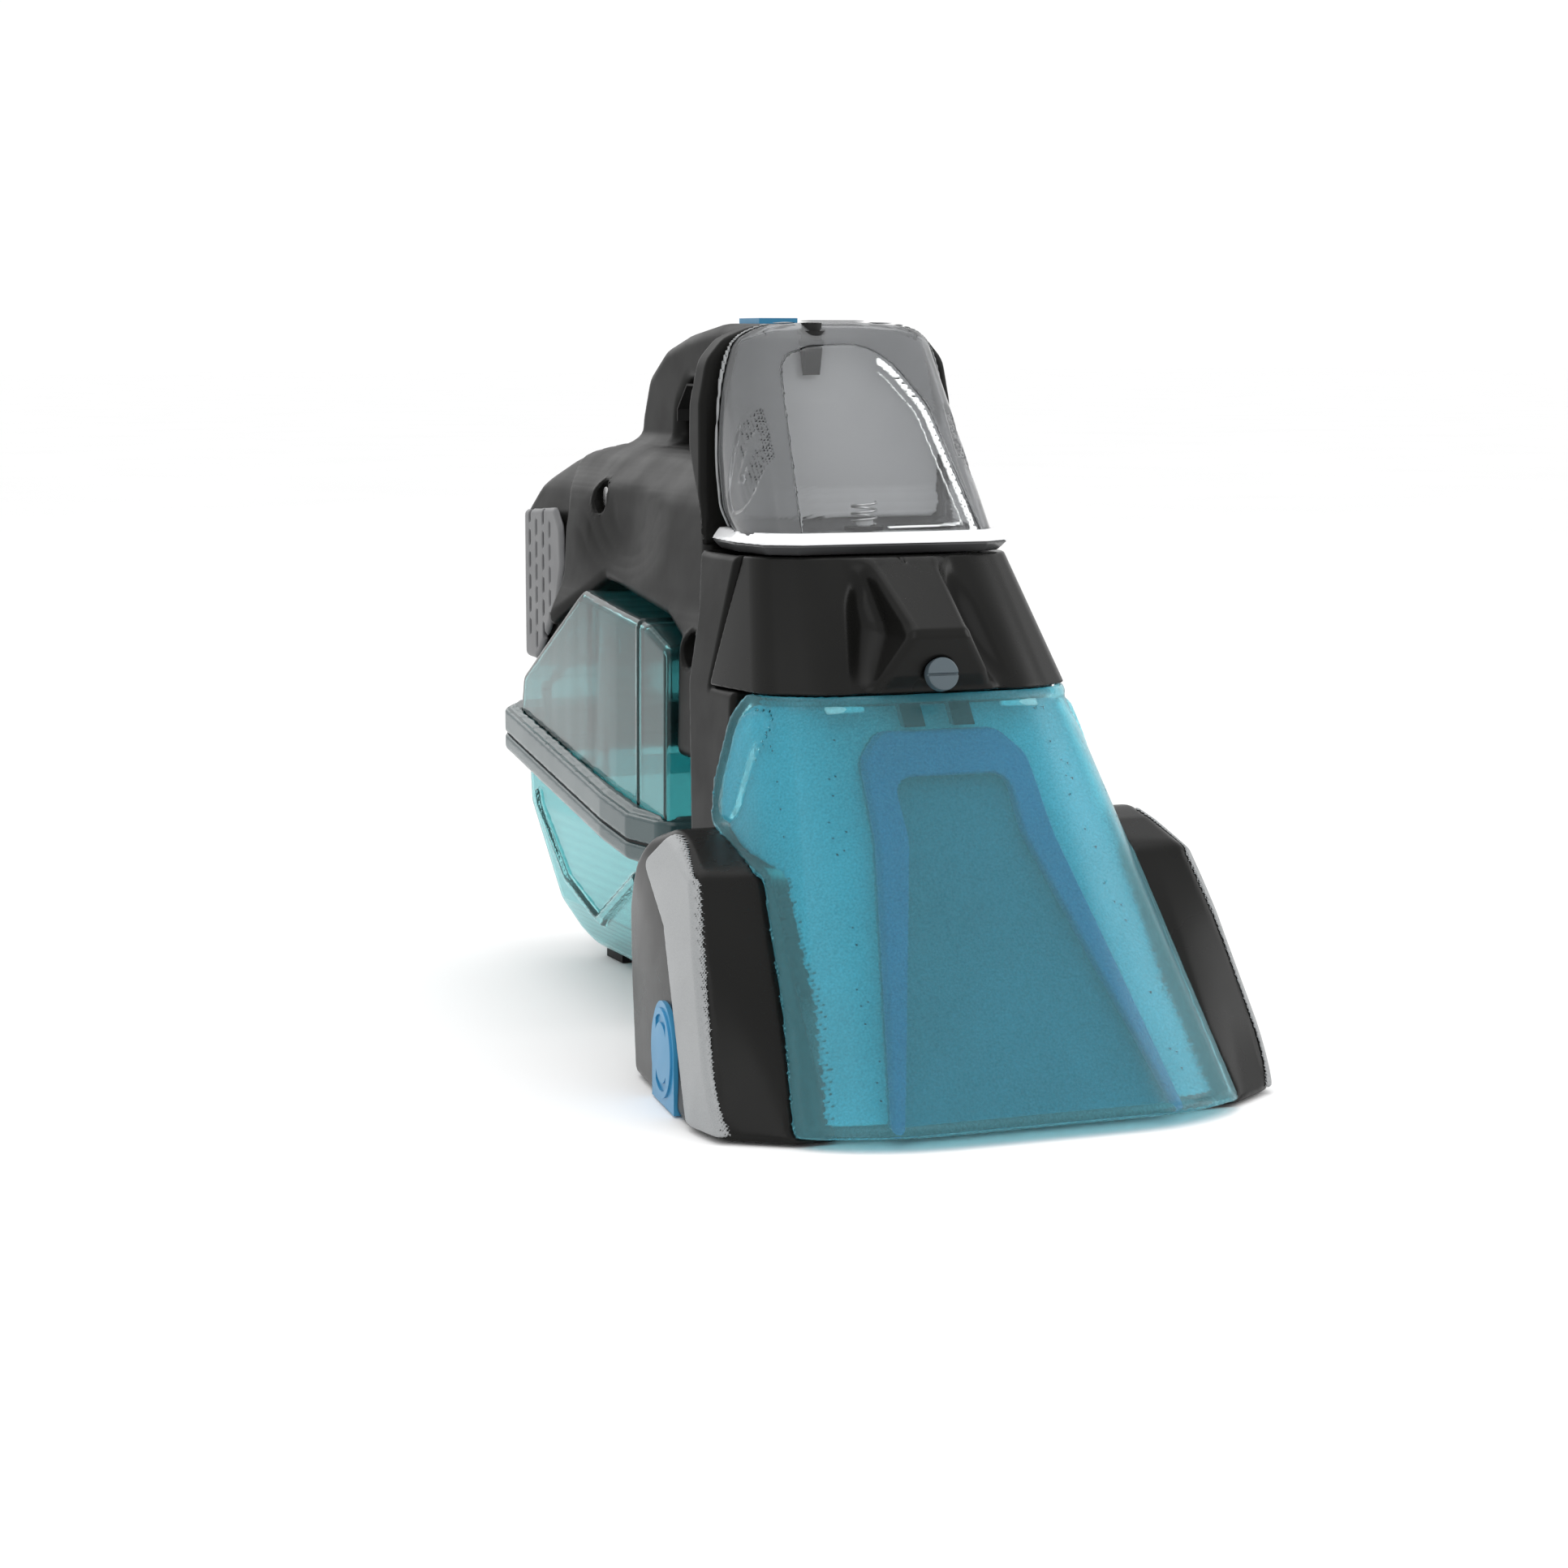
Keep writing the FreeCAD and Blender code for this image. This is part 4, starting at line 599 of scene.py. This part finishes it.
def clean_tank():
    """Clear tank with a thinner window in its front and a grip with an arrow at each side."""
    space = Space((-53, 128, 188), (53, 196, 273), 0.95)
    outside = tank_body(space)
    window = space.front(TANK_WINDOW)
    shell = meet(0.4, outside, -(outside + TANK_WALL), TANK_LOW - space.z)
    capsule = space.side([(157, 201), (174, 201), (174, 240), (157, 240)], 8.4)
    arrow = space.side(GRIP_ARROW)
    aside = 36 - np.abs(space.x)
    shell = carve(0.4, shell, meet(0.4, capsule, -(outside + 0.9), aside))
    shell = join(0.3, shell, meet(0.3, arrow, outside + 0.1, -(outside + 1.4), aside))
    front_only = nose(space, 18)
    pane = meet(0.3, shell, window + 0.2, -front_only)
    rest = carve(0.3, shell, meet(0, window, -front_only))
    fit(space.mesh("tank_shell", rest), SMOKE, "clean_tank")
    attach(space.mesh("tank_window", pane), WINDOW, "clean_tank")
    step = (TANK_BACK - TANK_FOOT_BACK) * np.clip((208 - space.z) / 14, 0, 1)
    behind = space.y - (TANK_BACK - 2.7) + step
    back = meet(0.3, outside + 2.9, -1.6 - behind, behind, 197 - space.z)
    attach(space.mesh("tank_back_panel", back), TANK_BACKING, "clean_tank")
    # Raised ribs round the right of the window, coloured white as a painted highlight where light catches
    # the clear ridges.
    edge = np.abs(window + 3) - 1.7
    second = np.abs(window + 7) - 0.6
    lit_side = 5 - space.x + 0.2 * (space.z - 225)
    ridge = meet(0.3, np.minimum(edge, second), lit_side, outside - 0.3, -(outside + 1.4), -front_only)
    attach(space.mesh("tank_window_painted_highlight", ridge), NYLON, "clean_tank")


def coil(name, axis_at, radius, low, high, turns, wire, node):
    """An open coil spring of round wire."""
    rings, sides = int(turns * 24), 8
    points, faces = [], []
    for ring in range(rings + 1):
        angle = 2 * math.pi * turns * ring / rings
        height = low + wire + (high - low - 2 * wire) * ring / rings
        for side in range(sides):
            wire_angle = 2 * math.pi * side / sides
            reach = radius + wire * math.cos(wire_angle)
            points.append(((axis_at[0] + reach * math.cos(angle)) * MM,
                           (axis_at[1] + reach * math.sin(angle) + LIP_Y) * MM,
                           (height + wire * math.sin(wire_angle)) * MM))
    for ring in range(rings):
        for side in range(sides):
            following = (side + 1) % sides
            faces.append((ring * sides + side, ring * sides + following, (ring + 1) * sides + following,
                          (ring + 1) * sides + side))
    faces.append(tuple(reversed(range(sides))))
    faces.append(tuple(rings * sides + side for side in range(sides)))
    fit(smooth_object(name, points, faces), STEEL, node)


def springs():
    """Return springs of the tank valve, the power button and the trigger."""
    coil("tank_valve_spring", (0, 160), 4.5, 195.3, 204.3, 3, 0.45, "outlet_spring")
    coil("power_button_spring", (0, 254), 2.6, 261.8, 266.4, 4, 0.3, "button_spring")
    coil("trigger_return_spring", (0, 232), 2.15, 253.1, 257.1, 4, 0.28, "trigger_spring")


def tank_bezel():
    """Bright band with an upper and a lower facet, the lower one in a dark grey that paints shade on the
    same silver band, and the thin rim that rises round the tank's back.
    """
    space = Space((-54, 128, 185), (54, 196, 273), 0.75)
    outline = space.plan(both_ways([(37, 130.5, 2), (48.6, 138.3, 2), (51.5, 162, 12), (48, 195, 0.3)]))
    crest, brim = CRADLE + 4.3, CRADLE + 8.4
    behind = space.y - (TANK_FOOT_BACK - 0.1)
    lower = meet(0.3, outline + np.maximum(crest - space.z, 0), CRADLE + 0.5 - space.z, space.z - crest,
                 behind)
    upper = meet(0.3, outline + 0.75 * np.maximum(space.z - crest, 0), crest - space.z, space.z - brim,
                 behind)
    body = tank_body(space, 8)
    inside = meet(0, body - 0.1, TANK_LOW - 0.2 - space.z)
    line = space.y - np.interp(space.z, [190, 204, 262, 268], [182, 188.5, 190, 188.5])
    rim = meet(0.3, body - 1.2, -(body - 0.15), -line, line - 2.6, crest - space.z)
    fit(space.mesh("bezel_band", carve(0, upper, inside)), SILVER, "tank_bezel")
    # The lower facet gets painted shade, a dark copy of the silver band's colour.
    attach(space.mesh("bezel_lower", carve(0, lower, inside)), BEZEL_PAINTED_SHADE, "tank_bezel")
    attach(space.mesh("bezel_rim", carve(0, rim, upper - 0.05)), GREY_TRIM, "tank_bezel")


# ---------------------------------------------------------------- tower behind the tank

DECK = 223


def front_frame():
    """Tower that carries both tanks, with rounded pillars that run down to the brush."""
    space = Space((-69, 103, 77), (69, 211, 271), 1.3)
    side = space.side([
        (104, 78), (104.5, 84.8), (123, 93.8), (129, 108), (129.6, NOZZLE_TOP), (152, NOZZLE_TOP),
        (152, CRADLE, 0.5), (TANK_FOOT_BACK + 0.4, CRADLE, 0.5), (TANK_BACK + 0.4, 208, 20),
        (TANK_BACK + 0.4, 269.3, 2), (206, 269.3, 4), (208, DECK, 12), (179, 163, 30), (165, 78)])
    front = space.front(both_ways([
        (66.5, 78), (63.5, NOZZLE_TOP, 40), (53, CRADLE, 6), (TANK_HALF + 1, 200, 20),
        (TANK_HALF + 1, 240, 16), (48, 256, 12), (41, 264, 10), (26, 270)]))
    outside = meet(2.5, side, front)
    inside = meet(2, space.side([(110, 76), (125, 97), (133, 137), (155, 137), (155, 189), (187, 189),
                                 (176, 163), (162, 80.5)]), front + 3)
    seal_way = meet(0.5, np.abs(space.x) - 49.5, space.between("z", 82.2, 107.8), 150 - space.y)
    solid = carve(0.5, outside, inside, seal_way)
    fit(space.mesh("tower", solid), BLACK, "front_frame")


# ---------------------------------------------------------------- housing, handle and vent

HANDLE_HALF = 19
HOUSING_WALL = 3
SCREW_PLACES = ((327, 200, -39.8), (193, 149, -48.8))  # back, height, floor of the recess along x


def housing():
    """Two halves with the handle moulded on, a soft dip at each flank and sunk screws."""
    space = Space((-60, 164, 106), (60, 428, 273), 1.5)
    belly_side = [(172, 108), (205, 108), (205, 151.4), (229, 158.6), (310, 167.2, 2), (362, 145),
                  (362, 200, 30), (390, 216.5, 20), (350, DECK, 30), (209.5, DECK), (209.5, 218),
                  (181, 163, 30)]
    belly_front = both_ways([(58, 100), (57, 150, 20), (50, 166, 20), (49, 186, 25), (45, 203, 20),
                             (34, 216, 16), (20, 224, 14), (0.1, 225)])
    belly = meet(5, space.side(belly_side), space.front(belly_front))
    stern_side = [(330, 160), (361, 146), (408, 125), (425, 125), (425, 192, 6), (412, 204, 14),
                  (390, 217, 24), (350, DECK, 40), (330, DECK)]
    stern_front = both_ways([(44, 120), (46.5, 150, 20), (46, 186, 20), (42, 203, 18), (32, 214, 14),
                             (18, 221, 14), (0.1, 224)])
    stern = meet(6, space.side(stern_side), space.front(stern_front))
    arch_side = [(209.5, 205), (209.5, 267, 4), (225, 269.3, 30), (262, 269.6, 60), (297, 265.5, 50),
                 (322, 260, 16), (341, 249.5, 12), (349.5, 233, 12), (354, 214, 8), (306, 214, 4),
                 (304, 236, 9), (293, 246, 8), (233, 246, 8), (221, 238, 9), (221, 205, 4)]
    arch = meet(6, space.side(arch_side), np.abs(space.x) - HANDLE_HALF)
    dip = space.ball((58, 292, 190), (14, 42, 20))
    dip = np.minimum(dip, space.ball((-58, 292, 190), (14, 42, 20)))
    body = join(3, belly, stern)
    body = carve(8, body, dip)
    gap_side = [(221, DECK + 0.5), (304, DECK + 0.5), (304, 236), (293, 246), (233, 246), (221, 238)]
    gap = meet(8, space.side(gap_side, 8), np.abs(space.x) - 30)
    outside = join(7, body, arch)
    outside = carve(3, outside, gap)
    shell = carve(0, outside, outside + HOUSING_WALL)
    for back, height, floor in SCREW_PLACES:
        boss = meet(0, space.rod("x", (0, back, height), 8.2), space.between("x", floor - 20, floor + 9),
                    outside)
        recess = meet(0.3, space.rod("x", (0, back, height), 6.4), space.x - floor)
        bore = meet(0, space.rod("x", (0, back, height), 2.1), space.x - floor - 12)
        shell = carve(0.7, join(0.5, shell, boss), recess, bore)
    button_way = meet(1, np.abs(space.x) - 8.4, space.between("y", 243, 265), 260 - space.z)
    trigger_way = meet(1, np.abs(space.x) - 8.6, space.between("y", 224, 260), space.between("z", 238, 254))
    shell = carve(0.3, shell, button_way, trigger_way)
    left = meet(0.2, shell, space.x + 0.12)
    right = meet(0.2, shell, 0.12 - space.x)
    fit(space.mesh("housing_left_shell", left), BLACK, "housing_left")
    fit(space.mesh("housing_right_shell", right), BLACK, "housing_right")


def upright_slot(middle, low):
    """Outline of one short slot."""
    return [(middle - 1.2, low), (middle + 1.2, low), (middle + 1.2, low + 6.5), (middle - 1.2, low + 6.5)]


def rear_vent_cover():
    """Wrap-round cover with staggered rows of short upright slots."""
    space = Space((-52, 358, 124), (52, 433.5, 197), 0.85)
    outline = space.plan(both_ways([
        (50.5, 358), (50, 372, 20), (48, 418, 14), (41, LENGTH - 1, 8), (20, LENGTH, 10)]))
    edge = space.side([(368, 155, 4), (361.5, 170, 8), (363, 186, 6), (372, 194, 4), (LENGTH + 4, 190, 4),
                       (LENGTH + 4, 127.5), (402, 127.5, 2), (396, 131, 3)])
    outside = meet(2.5, outline, edge)
    shell = carve(0.5, outside, outline + 2.6)
    slots = []
    for row in range(6):
        for column in range(4):
            low = 133 + row * 9.6 + (column % 2) * 4.8
            slots.append(space.side(upright_slot(378.2 + column * 10.5, low), 1.1))
        for column in range(5):
            low = 133 + row * 9.6 + (column % 2) * 4.8
            bar = space.front(upright_slot(-28 + column * 14, low), 1.1)
            slots.append(np.maximum(bar, 420 - space.y))
    fit(space.mesh("vent_cover", carve(0.3, shell, join(0, *slots))), GREY_VENT, "rear_vent_cover")


# ---------------------------------------------------------------- brush housing and trims

SHOULDER_HALF = 107
SHOULDER_SIDE = [(20, 0, 1), (150, 0, 4), (156, 34, 40), (158, 62, 18), (148, 78, 14), (135, 89, 14),
                 (118, 94, 12), (104, 90.5, 12), (83, 82.5, 6), (79, 77, 2)]
SIDE_YAW = math.radians(8)
BRUSH_BACK, BRUSH_HEIGHT = 97, 21
BRUSH_ROOM, ROOM_HALF = 23, 90  # radius and half the length of the room for the brush
DIAL_RADIUS = 18.2


def shoulders(space, grow=0):
    """The brush hood's outer skin with both shoulders, made wider by an amount."""
    narrow = math.tan(SIDE_YAW) * 100
    wide = SHOULDER_HALF + grow
    front = space.front(both_ways([
        (wide, -1), (wide - 1.5, 10, 20), (wide - 8, 60, 30), (wide - 12, 82, 12), (wide - 17, 96)]))
    plan = space.plan(both_ways([
        (80, 18), (wide - 4, 34, 14), (wide, 56, 14), (wide - narrow, 156), (wide - narrow, 200)]))
    outer = 35 + 0.6 * np.clip(space.z - 3, 0, 78.5)
    inner = np.interp(space.z, [0, 3, 41, 80, 96], [20, 21, 51, 81, 96])
    lead = outer + (inner - outer) * np.clip((101 - np.abs(space.x)) / 20, 0, 1)
    return meet(3, (lead - space.y) * 0.7, meet(4, space.side(SHOULDER_SIDE), meet(3, front, plan)))


def brush_housing():
    """Hood over the brush with its shoulders, open underneath."""
    space = Space((-112, 20, -2), (112, 160, 97), 1.4)
    outside = shoulders(space)
    above_side = [(-10, -10), (62, -10), (62, 50), (80, 66), (150, 66), (170, 75), (170, 130), (-10, 130)]
    above = meet(1, np.abs(space.x) - 67, space.side(above_side))
    room = meet(0, space.rod("x", (0, BRUSH_BACK, BRUSH_HEIGHT), BRUSH_ROOM), np.abs(space.x) - ROOM_HALF)
    mouth = meet(0, space.between("y", BRUSH_BACK - BRUSH_ROOM, BRUSH_BACK + BRUSH_ROOM),
                 space.z - BRUSH_HEIGHT, np.abs(space.x) - ROOM_HALF)
    nozzle_side = [(point[0] + 0.6, *point[1:]) for point in NOZZLE_SIDE]
    nozzle = meet(0.5, nozzle_body(space) - 0.5, space.side(nozzle_side))
    under = meet(0, nozzle_body(space) + 0.2, space.side([(-10, -5), (70, -5), (90, 60), (-10, 60)]),
                 np.abs(space.x) - 68)
    front_of_dial, back_of_dial = BRUSH_BACK - DIAL_RADIUS, BRUSH_BACK + DIAL_RADIUS
    dial_side = [(front_of_dial, -3), (back_of_dial, -3), (back_of_dial, 19, DIAL_RADIUS),
                 (BRUSH_BACK, 19 + DIAL_RADIUS, DIAL_RADIUS), (front_of_dial, 19, DIAL_RADIUS)]
    dial = meet(0, space.side(dial_side), space.x + 93)
    solid = carve(0.6, outside, above, nozzle, under, dial)
    solid = carve(0, solid, room, mouth)
    fit(space.mesh("brush_hood", solid), BLACK_SATIN, "brush_housing")


TRIM_BAND = [(36, 2, 1), (81, 80, 3), (112, 95, 3), (132, 80, 3), (102, 62, 4), (62, 2, 1)]


def trims():
    """Bent strip that stands proud of each shoulder, with a bevel along its inner edge."""
    for side, sign in (("left", -1), ("right", 1)):
        low, high = sorted((80 * sign, 111 * sign))
        space = Space((low, 30, 0), (high, 136, 98), 0.62)
        ahead = meet(0, space.side([(10, 2), (10, 81), (90, 81), (60, 2)]),
                     100 - 0.14 * (space.z - 3) - np.abs(space.x))
        band = join(1, space.side(TRIM_BAND), ahead)
        base, proud = shoulders(space), shoulders(space, 1.5)
        skin = meet(1.2, proud, band, 1.6 - space.z)
        fit(space.mesh(f"trim_{side}_strip", meet(0, skin, -(base - 0.05))), GREY_TRIM, f"trim_{side}")


# ---------------------------------------------------------------- dirty tank

DIRTY_WALL = 2.3


def seam_height(space):
    """Height above the joint between the dirty tank's lid and bowl."""
    return space.z - (73 + 0.117 * np.maximum(space.y - 232, 0))


def flange(space):
    """Level outline of the flange."""
    return space.plan(both_ways([
        (48, 199, 3), (64, 203, 8), (68, 232, 10), (68, 262, 20), (58, 418, 10), (50, 429, 6),
        (20, 431.5, 6)]))


def lid_body(space):
    """The lid's outer skin above the flange."""
    return meet(3, space.side([(205.5, 60), (205.5, 149, 5), (229, 156, 6), (310, 163.5, 3), (404, 121, 6),
                               (408, 108, 6), (408, 60)]),
                meet(3, space.front(both_ways([(62, 50), (61, 158, 3), (57, 170)])),
                     space.plan(both_ways([(62, 190), (62, 262, 30), (53, 420)]))))


def dirty_tank_lid():
    """Clear lid with its inlet neck, stepped flange and the frame of its filter."""
    space = Space((-70, 172, 62), (70, 434, 166), 1.15)
    seam = seam_height(space)
    body = lid_body(space)
    above = 0.35 - seam
    rim = meet(1.2, flange(space), seam - 10.5, above)
    step = meet(1.2, flange(space) + 3.4, seam - 12.5, above)
    neck = meet(1.5, np.abs(space.x) - 48, space.between("z", 84, 106), space.between("y", 174.6, 209))
    inside = meet(1, body + DIRTY_WALL, -5 - seam)
    bore = meet(1, np.abs(space.x) - 46, space.between("z", 86, 104), 170 - space.y, space.y - 215)
    shell = carve(0.5, join(1.2, meet(0, body, above), neck), inside, bore)
    crest = meet(0.5, np.abs(body + 0.2) - 1.2, space.between("y", 235.2, 238), 12 - seam)
    shell = join(0.4, shell, crest)
    fit(space.mesh("lid_shell", shell), TEAL_LID, "dirty_tank_lid")
    collar = carve(0.3, join(1.2, rim, step), body - 0.1, neck - 0.1, inside)
    attach(space.mesh("lid_flange", collar), TEAL_DARK, "dirty_tank_lid")
    grille = space.side([(394, 116), (334, 142), (321, 140), (329, 97), (370, 76)], 3)
    bars = meet(0.3, np.abs(grille) - 1.5, np.abs(np.abs(space.x) - 45.25) - 1.75)
    attach(space.mesh("filter_frame", bars), TEAL_DARK, "dirty_tank_lid")


def dirty_tank_bowl():
    """Clear bowl with a raised rib along its side and a flange."""
    space = Space((-70, 196, 0), (70, 434, 100), 1.2)
    seam = seam_height(space)
    side = space.side([(206, 100), (207, 66, 10), (221, 14, 12), (231, 3.2, 8), (378, 3.2, 14),
                       (392, 9, 10), (402, 22, 16), (411, 82), (413, 110)])
    front = space.front(both_ways([(27, 3.2, 4), (31, 8, 4), (39, 24, 12), (50, 66, 10), (50, 120)]))
    bowl = meet(5, side, front)
    lip = meet(1.5, flange(space), seam + 0.35, -8.5 - seam + 0.25 * np.maximum(flange(space) + 6, 0))
    outside = meet(0, bowl, seam + 0.35)
    rib_line = [(395, 70), (380, 35), (348, 21.5), (282, 49)]
    rib = np.inf
    for (back, height), (next_back, next_height) in zip(rib_line, rib_line[1:]):
        run, rise = next_back - back, next_height - height
        share = ((space.y - back) * run + (space.z - height) * rise) / (run ** 2 + rise ** 2)
        share = np.clip(share, 0, 1)
        rib = np.minimum(rib, np.hypot(space.y - back - share * run, space.z - height - share * rise))
    ridge = meet(0.8, rib - 2.2, bowl - 1.9, 20 - np.abs(space.x))
    shell = carve(0.5, join(0.8, outside, ridge), bowl + DIRTY_WALL)
    fit(space.mesh("bowl_shell", shell), TEAL, "dirty_tank_bowl")
    attach(space.mesh("bowl_flange", carve(0.3, lip, bowl - 0.1)), TEAL_DARK, "dirty_tank_bowl")


# ---------------------------------------------------------------- camera, light and floor

LAMPS = (  # name, place, size and power
    ("key", (-0.9, -1.0, 1.3), 0.9, 3.5),
    ("side", (1.3, -0.5, 0.8), 0.8, 6),
    ("top", (0, 0.2, 1.6), 1.2, 5),
    ("back", (-0.3, 1.6, 1.0), 1.0, 3))
EYE = (-0.496, -1.206, 0.262)
TURN, DIP = math.radians(22), math.radians(7.37)


def stage():
    """Pale floor, white surroundings and four soft lamps."""
    bpy.ops.mesh.primitive_plane_add(size=60, location=(0, 0, cad_low.z - 0.0002))
    floor = bpy.context.object
    floor.name = "floor"
    look, tree, shader, spot = nodes_of("pale_floor")
    tree.links.new(ramp(tree, noise(tree, spot, 3), (0.3, (0.96, 0.96, 0.96)), (0.7, (0.98, 0.98, 0.98))),
                   shader.inputs["Base Color"])
    shader.inputs["Roughness"].default_value = 0.7
    floor.data.materials.append(look)
    world = bpy.data.worlds.new("studio")
    bpy.context.scene.world = world
    world.use_nodes = True
    sky = world.node_tree.nodes["Background"]
    sky.inputs["Color"].default_value = (1, 1, 1, 1)
    sky.inputs["Strength"].default_value = 1.03
    for name, place, size, power in LAMPS:
        lamp = bpy.data.lights.new(name, "AREA")
        lamp.energy, lamp.size = power, size
        thing = bpy.data.objects.new(name, lamp)
        bpy.context.scene.collection.objects.link(thing)
        thing.location = place
        thing.rotation_euler = (Vector((0, 0, 0.12)) - Vector(place)).to_track_quat("-Z", "Y").to_euler()
    bpy.context.scene.view_settings.view_transform = "Standard"


def camera():
    """Camera in front, to the left and a little above."""
    lens = bpy.data.cameras.new("camera")
    lens.sensor_width, lens.lens = 36, 78.26
    eye = bpy.data.objects.new("camera", lens)
    bpy.context.scene.collection.objects.link(eye)
    bpy.context.scene.camera = eye
    eye.location = EYE
    ahead = Vector((math.sin(TURN) * math.cos(DIP), math.cos(TURN) * math.cos(DIP), -math.sin(DIP)))
    eye.rotation_euler = ahead.to_track_quat("-Z", "Y").to_euler()


stage()
camera()
for build in (suction_nozzle, nozzle_liner, channel, front_housing, spray_tip, clean_tank, springs,
              tank_bezel, front_frame, housing, rear_vent_cover, brush_housing, trims, dirty_tank_lid,
              dirty_tank_bowl):
    build()

for name, thing in frame["nodes"].items():
    thing.data.materials.clear()
    thing.data.materials.append(SLOT_LOOKS[NODE_SLOT[name]])
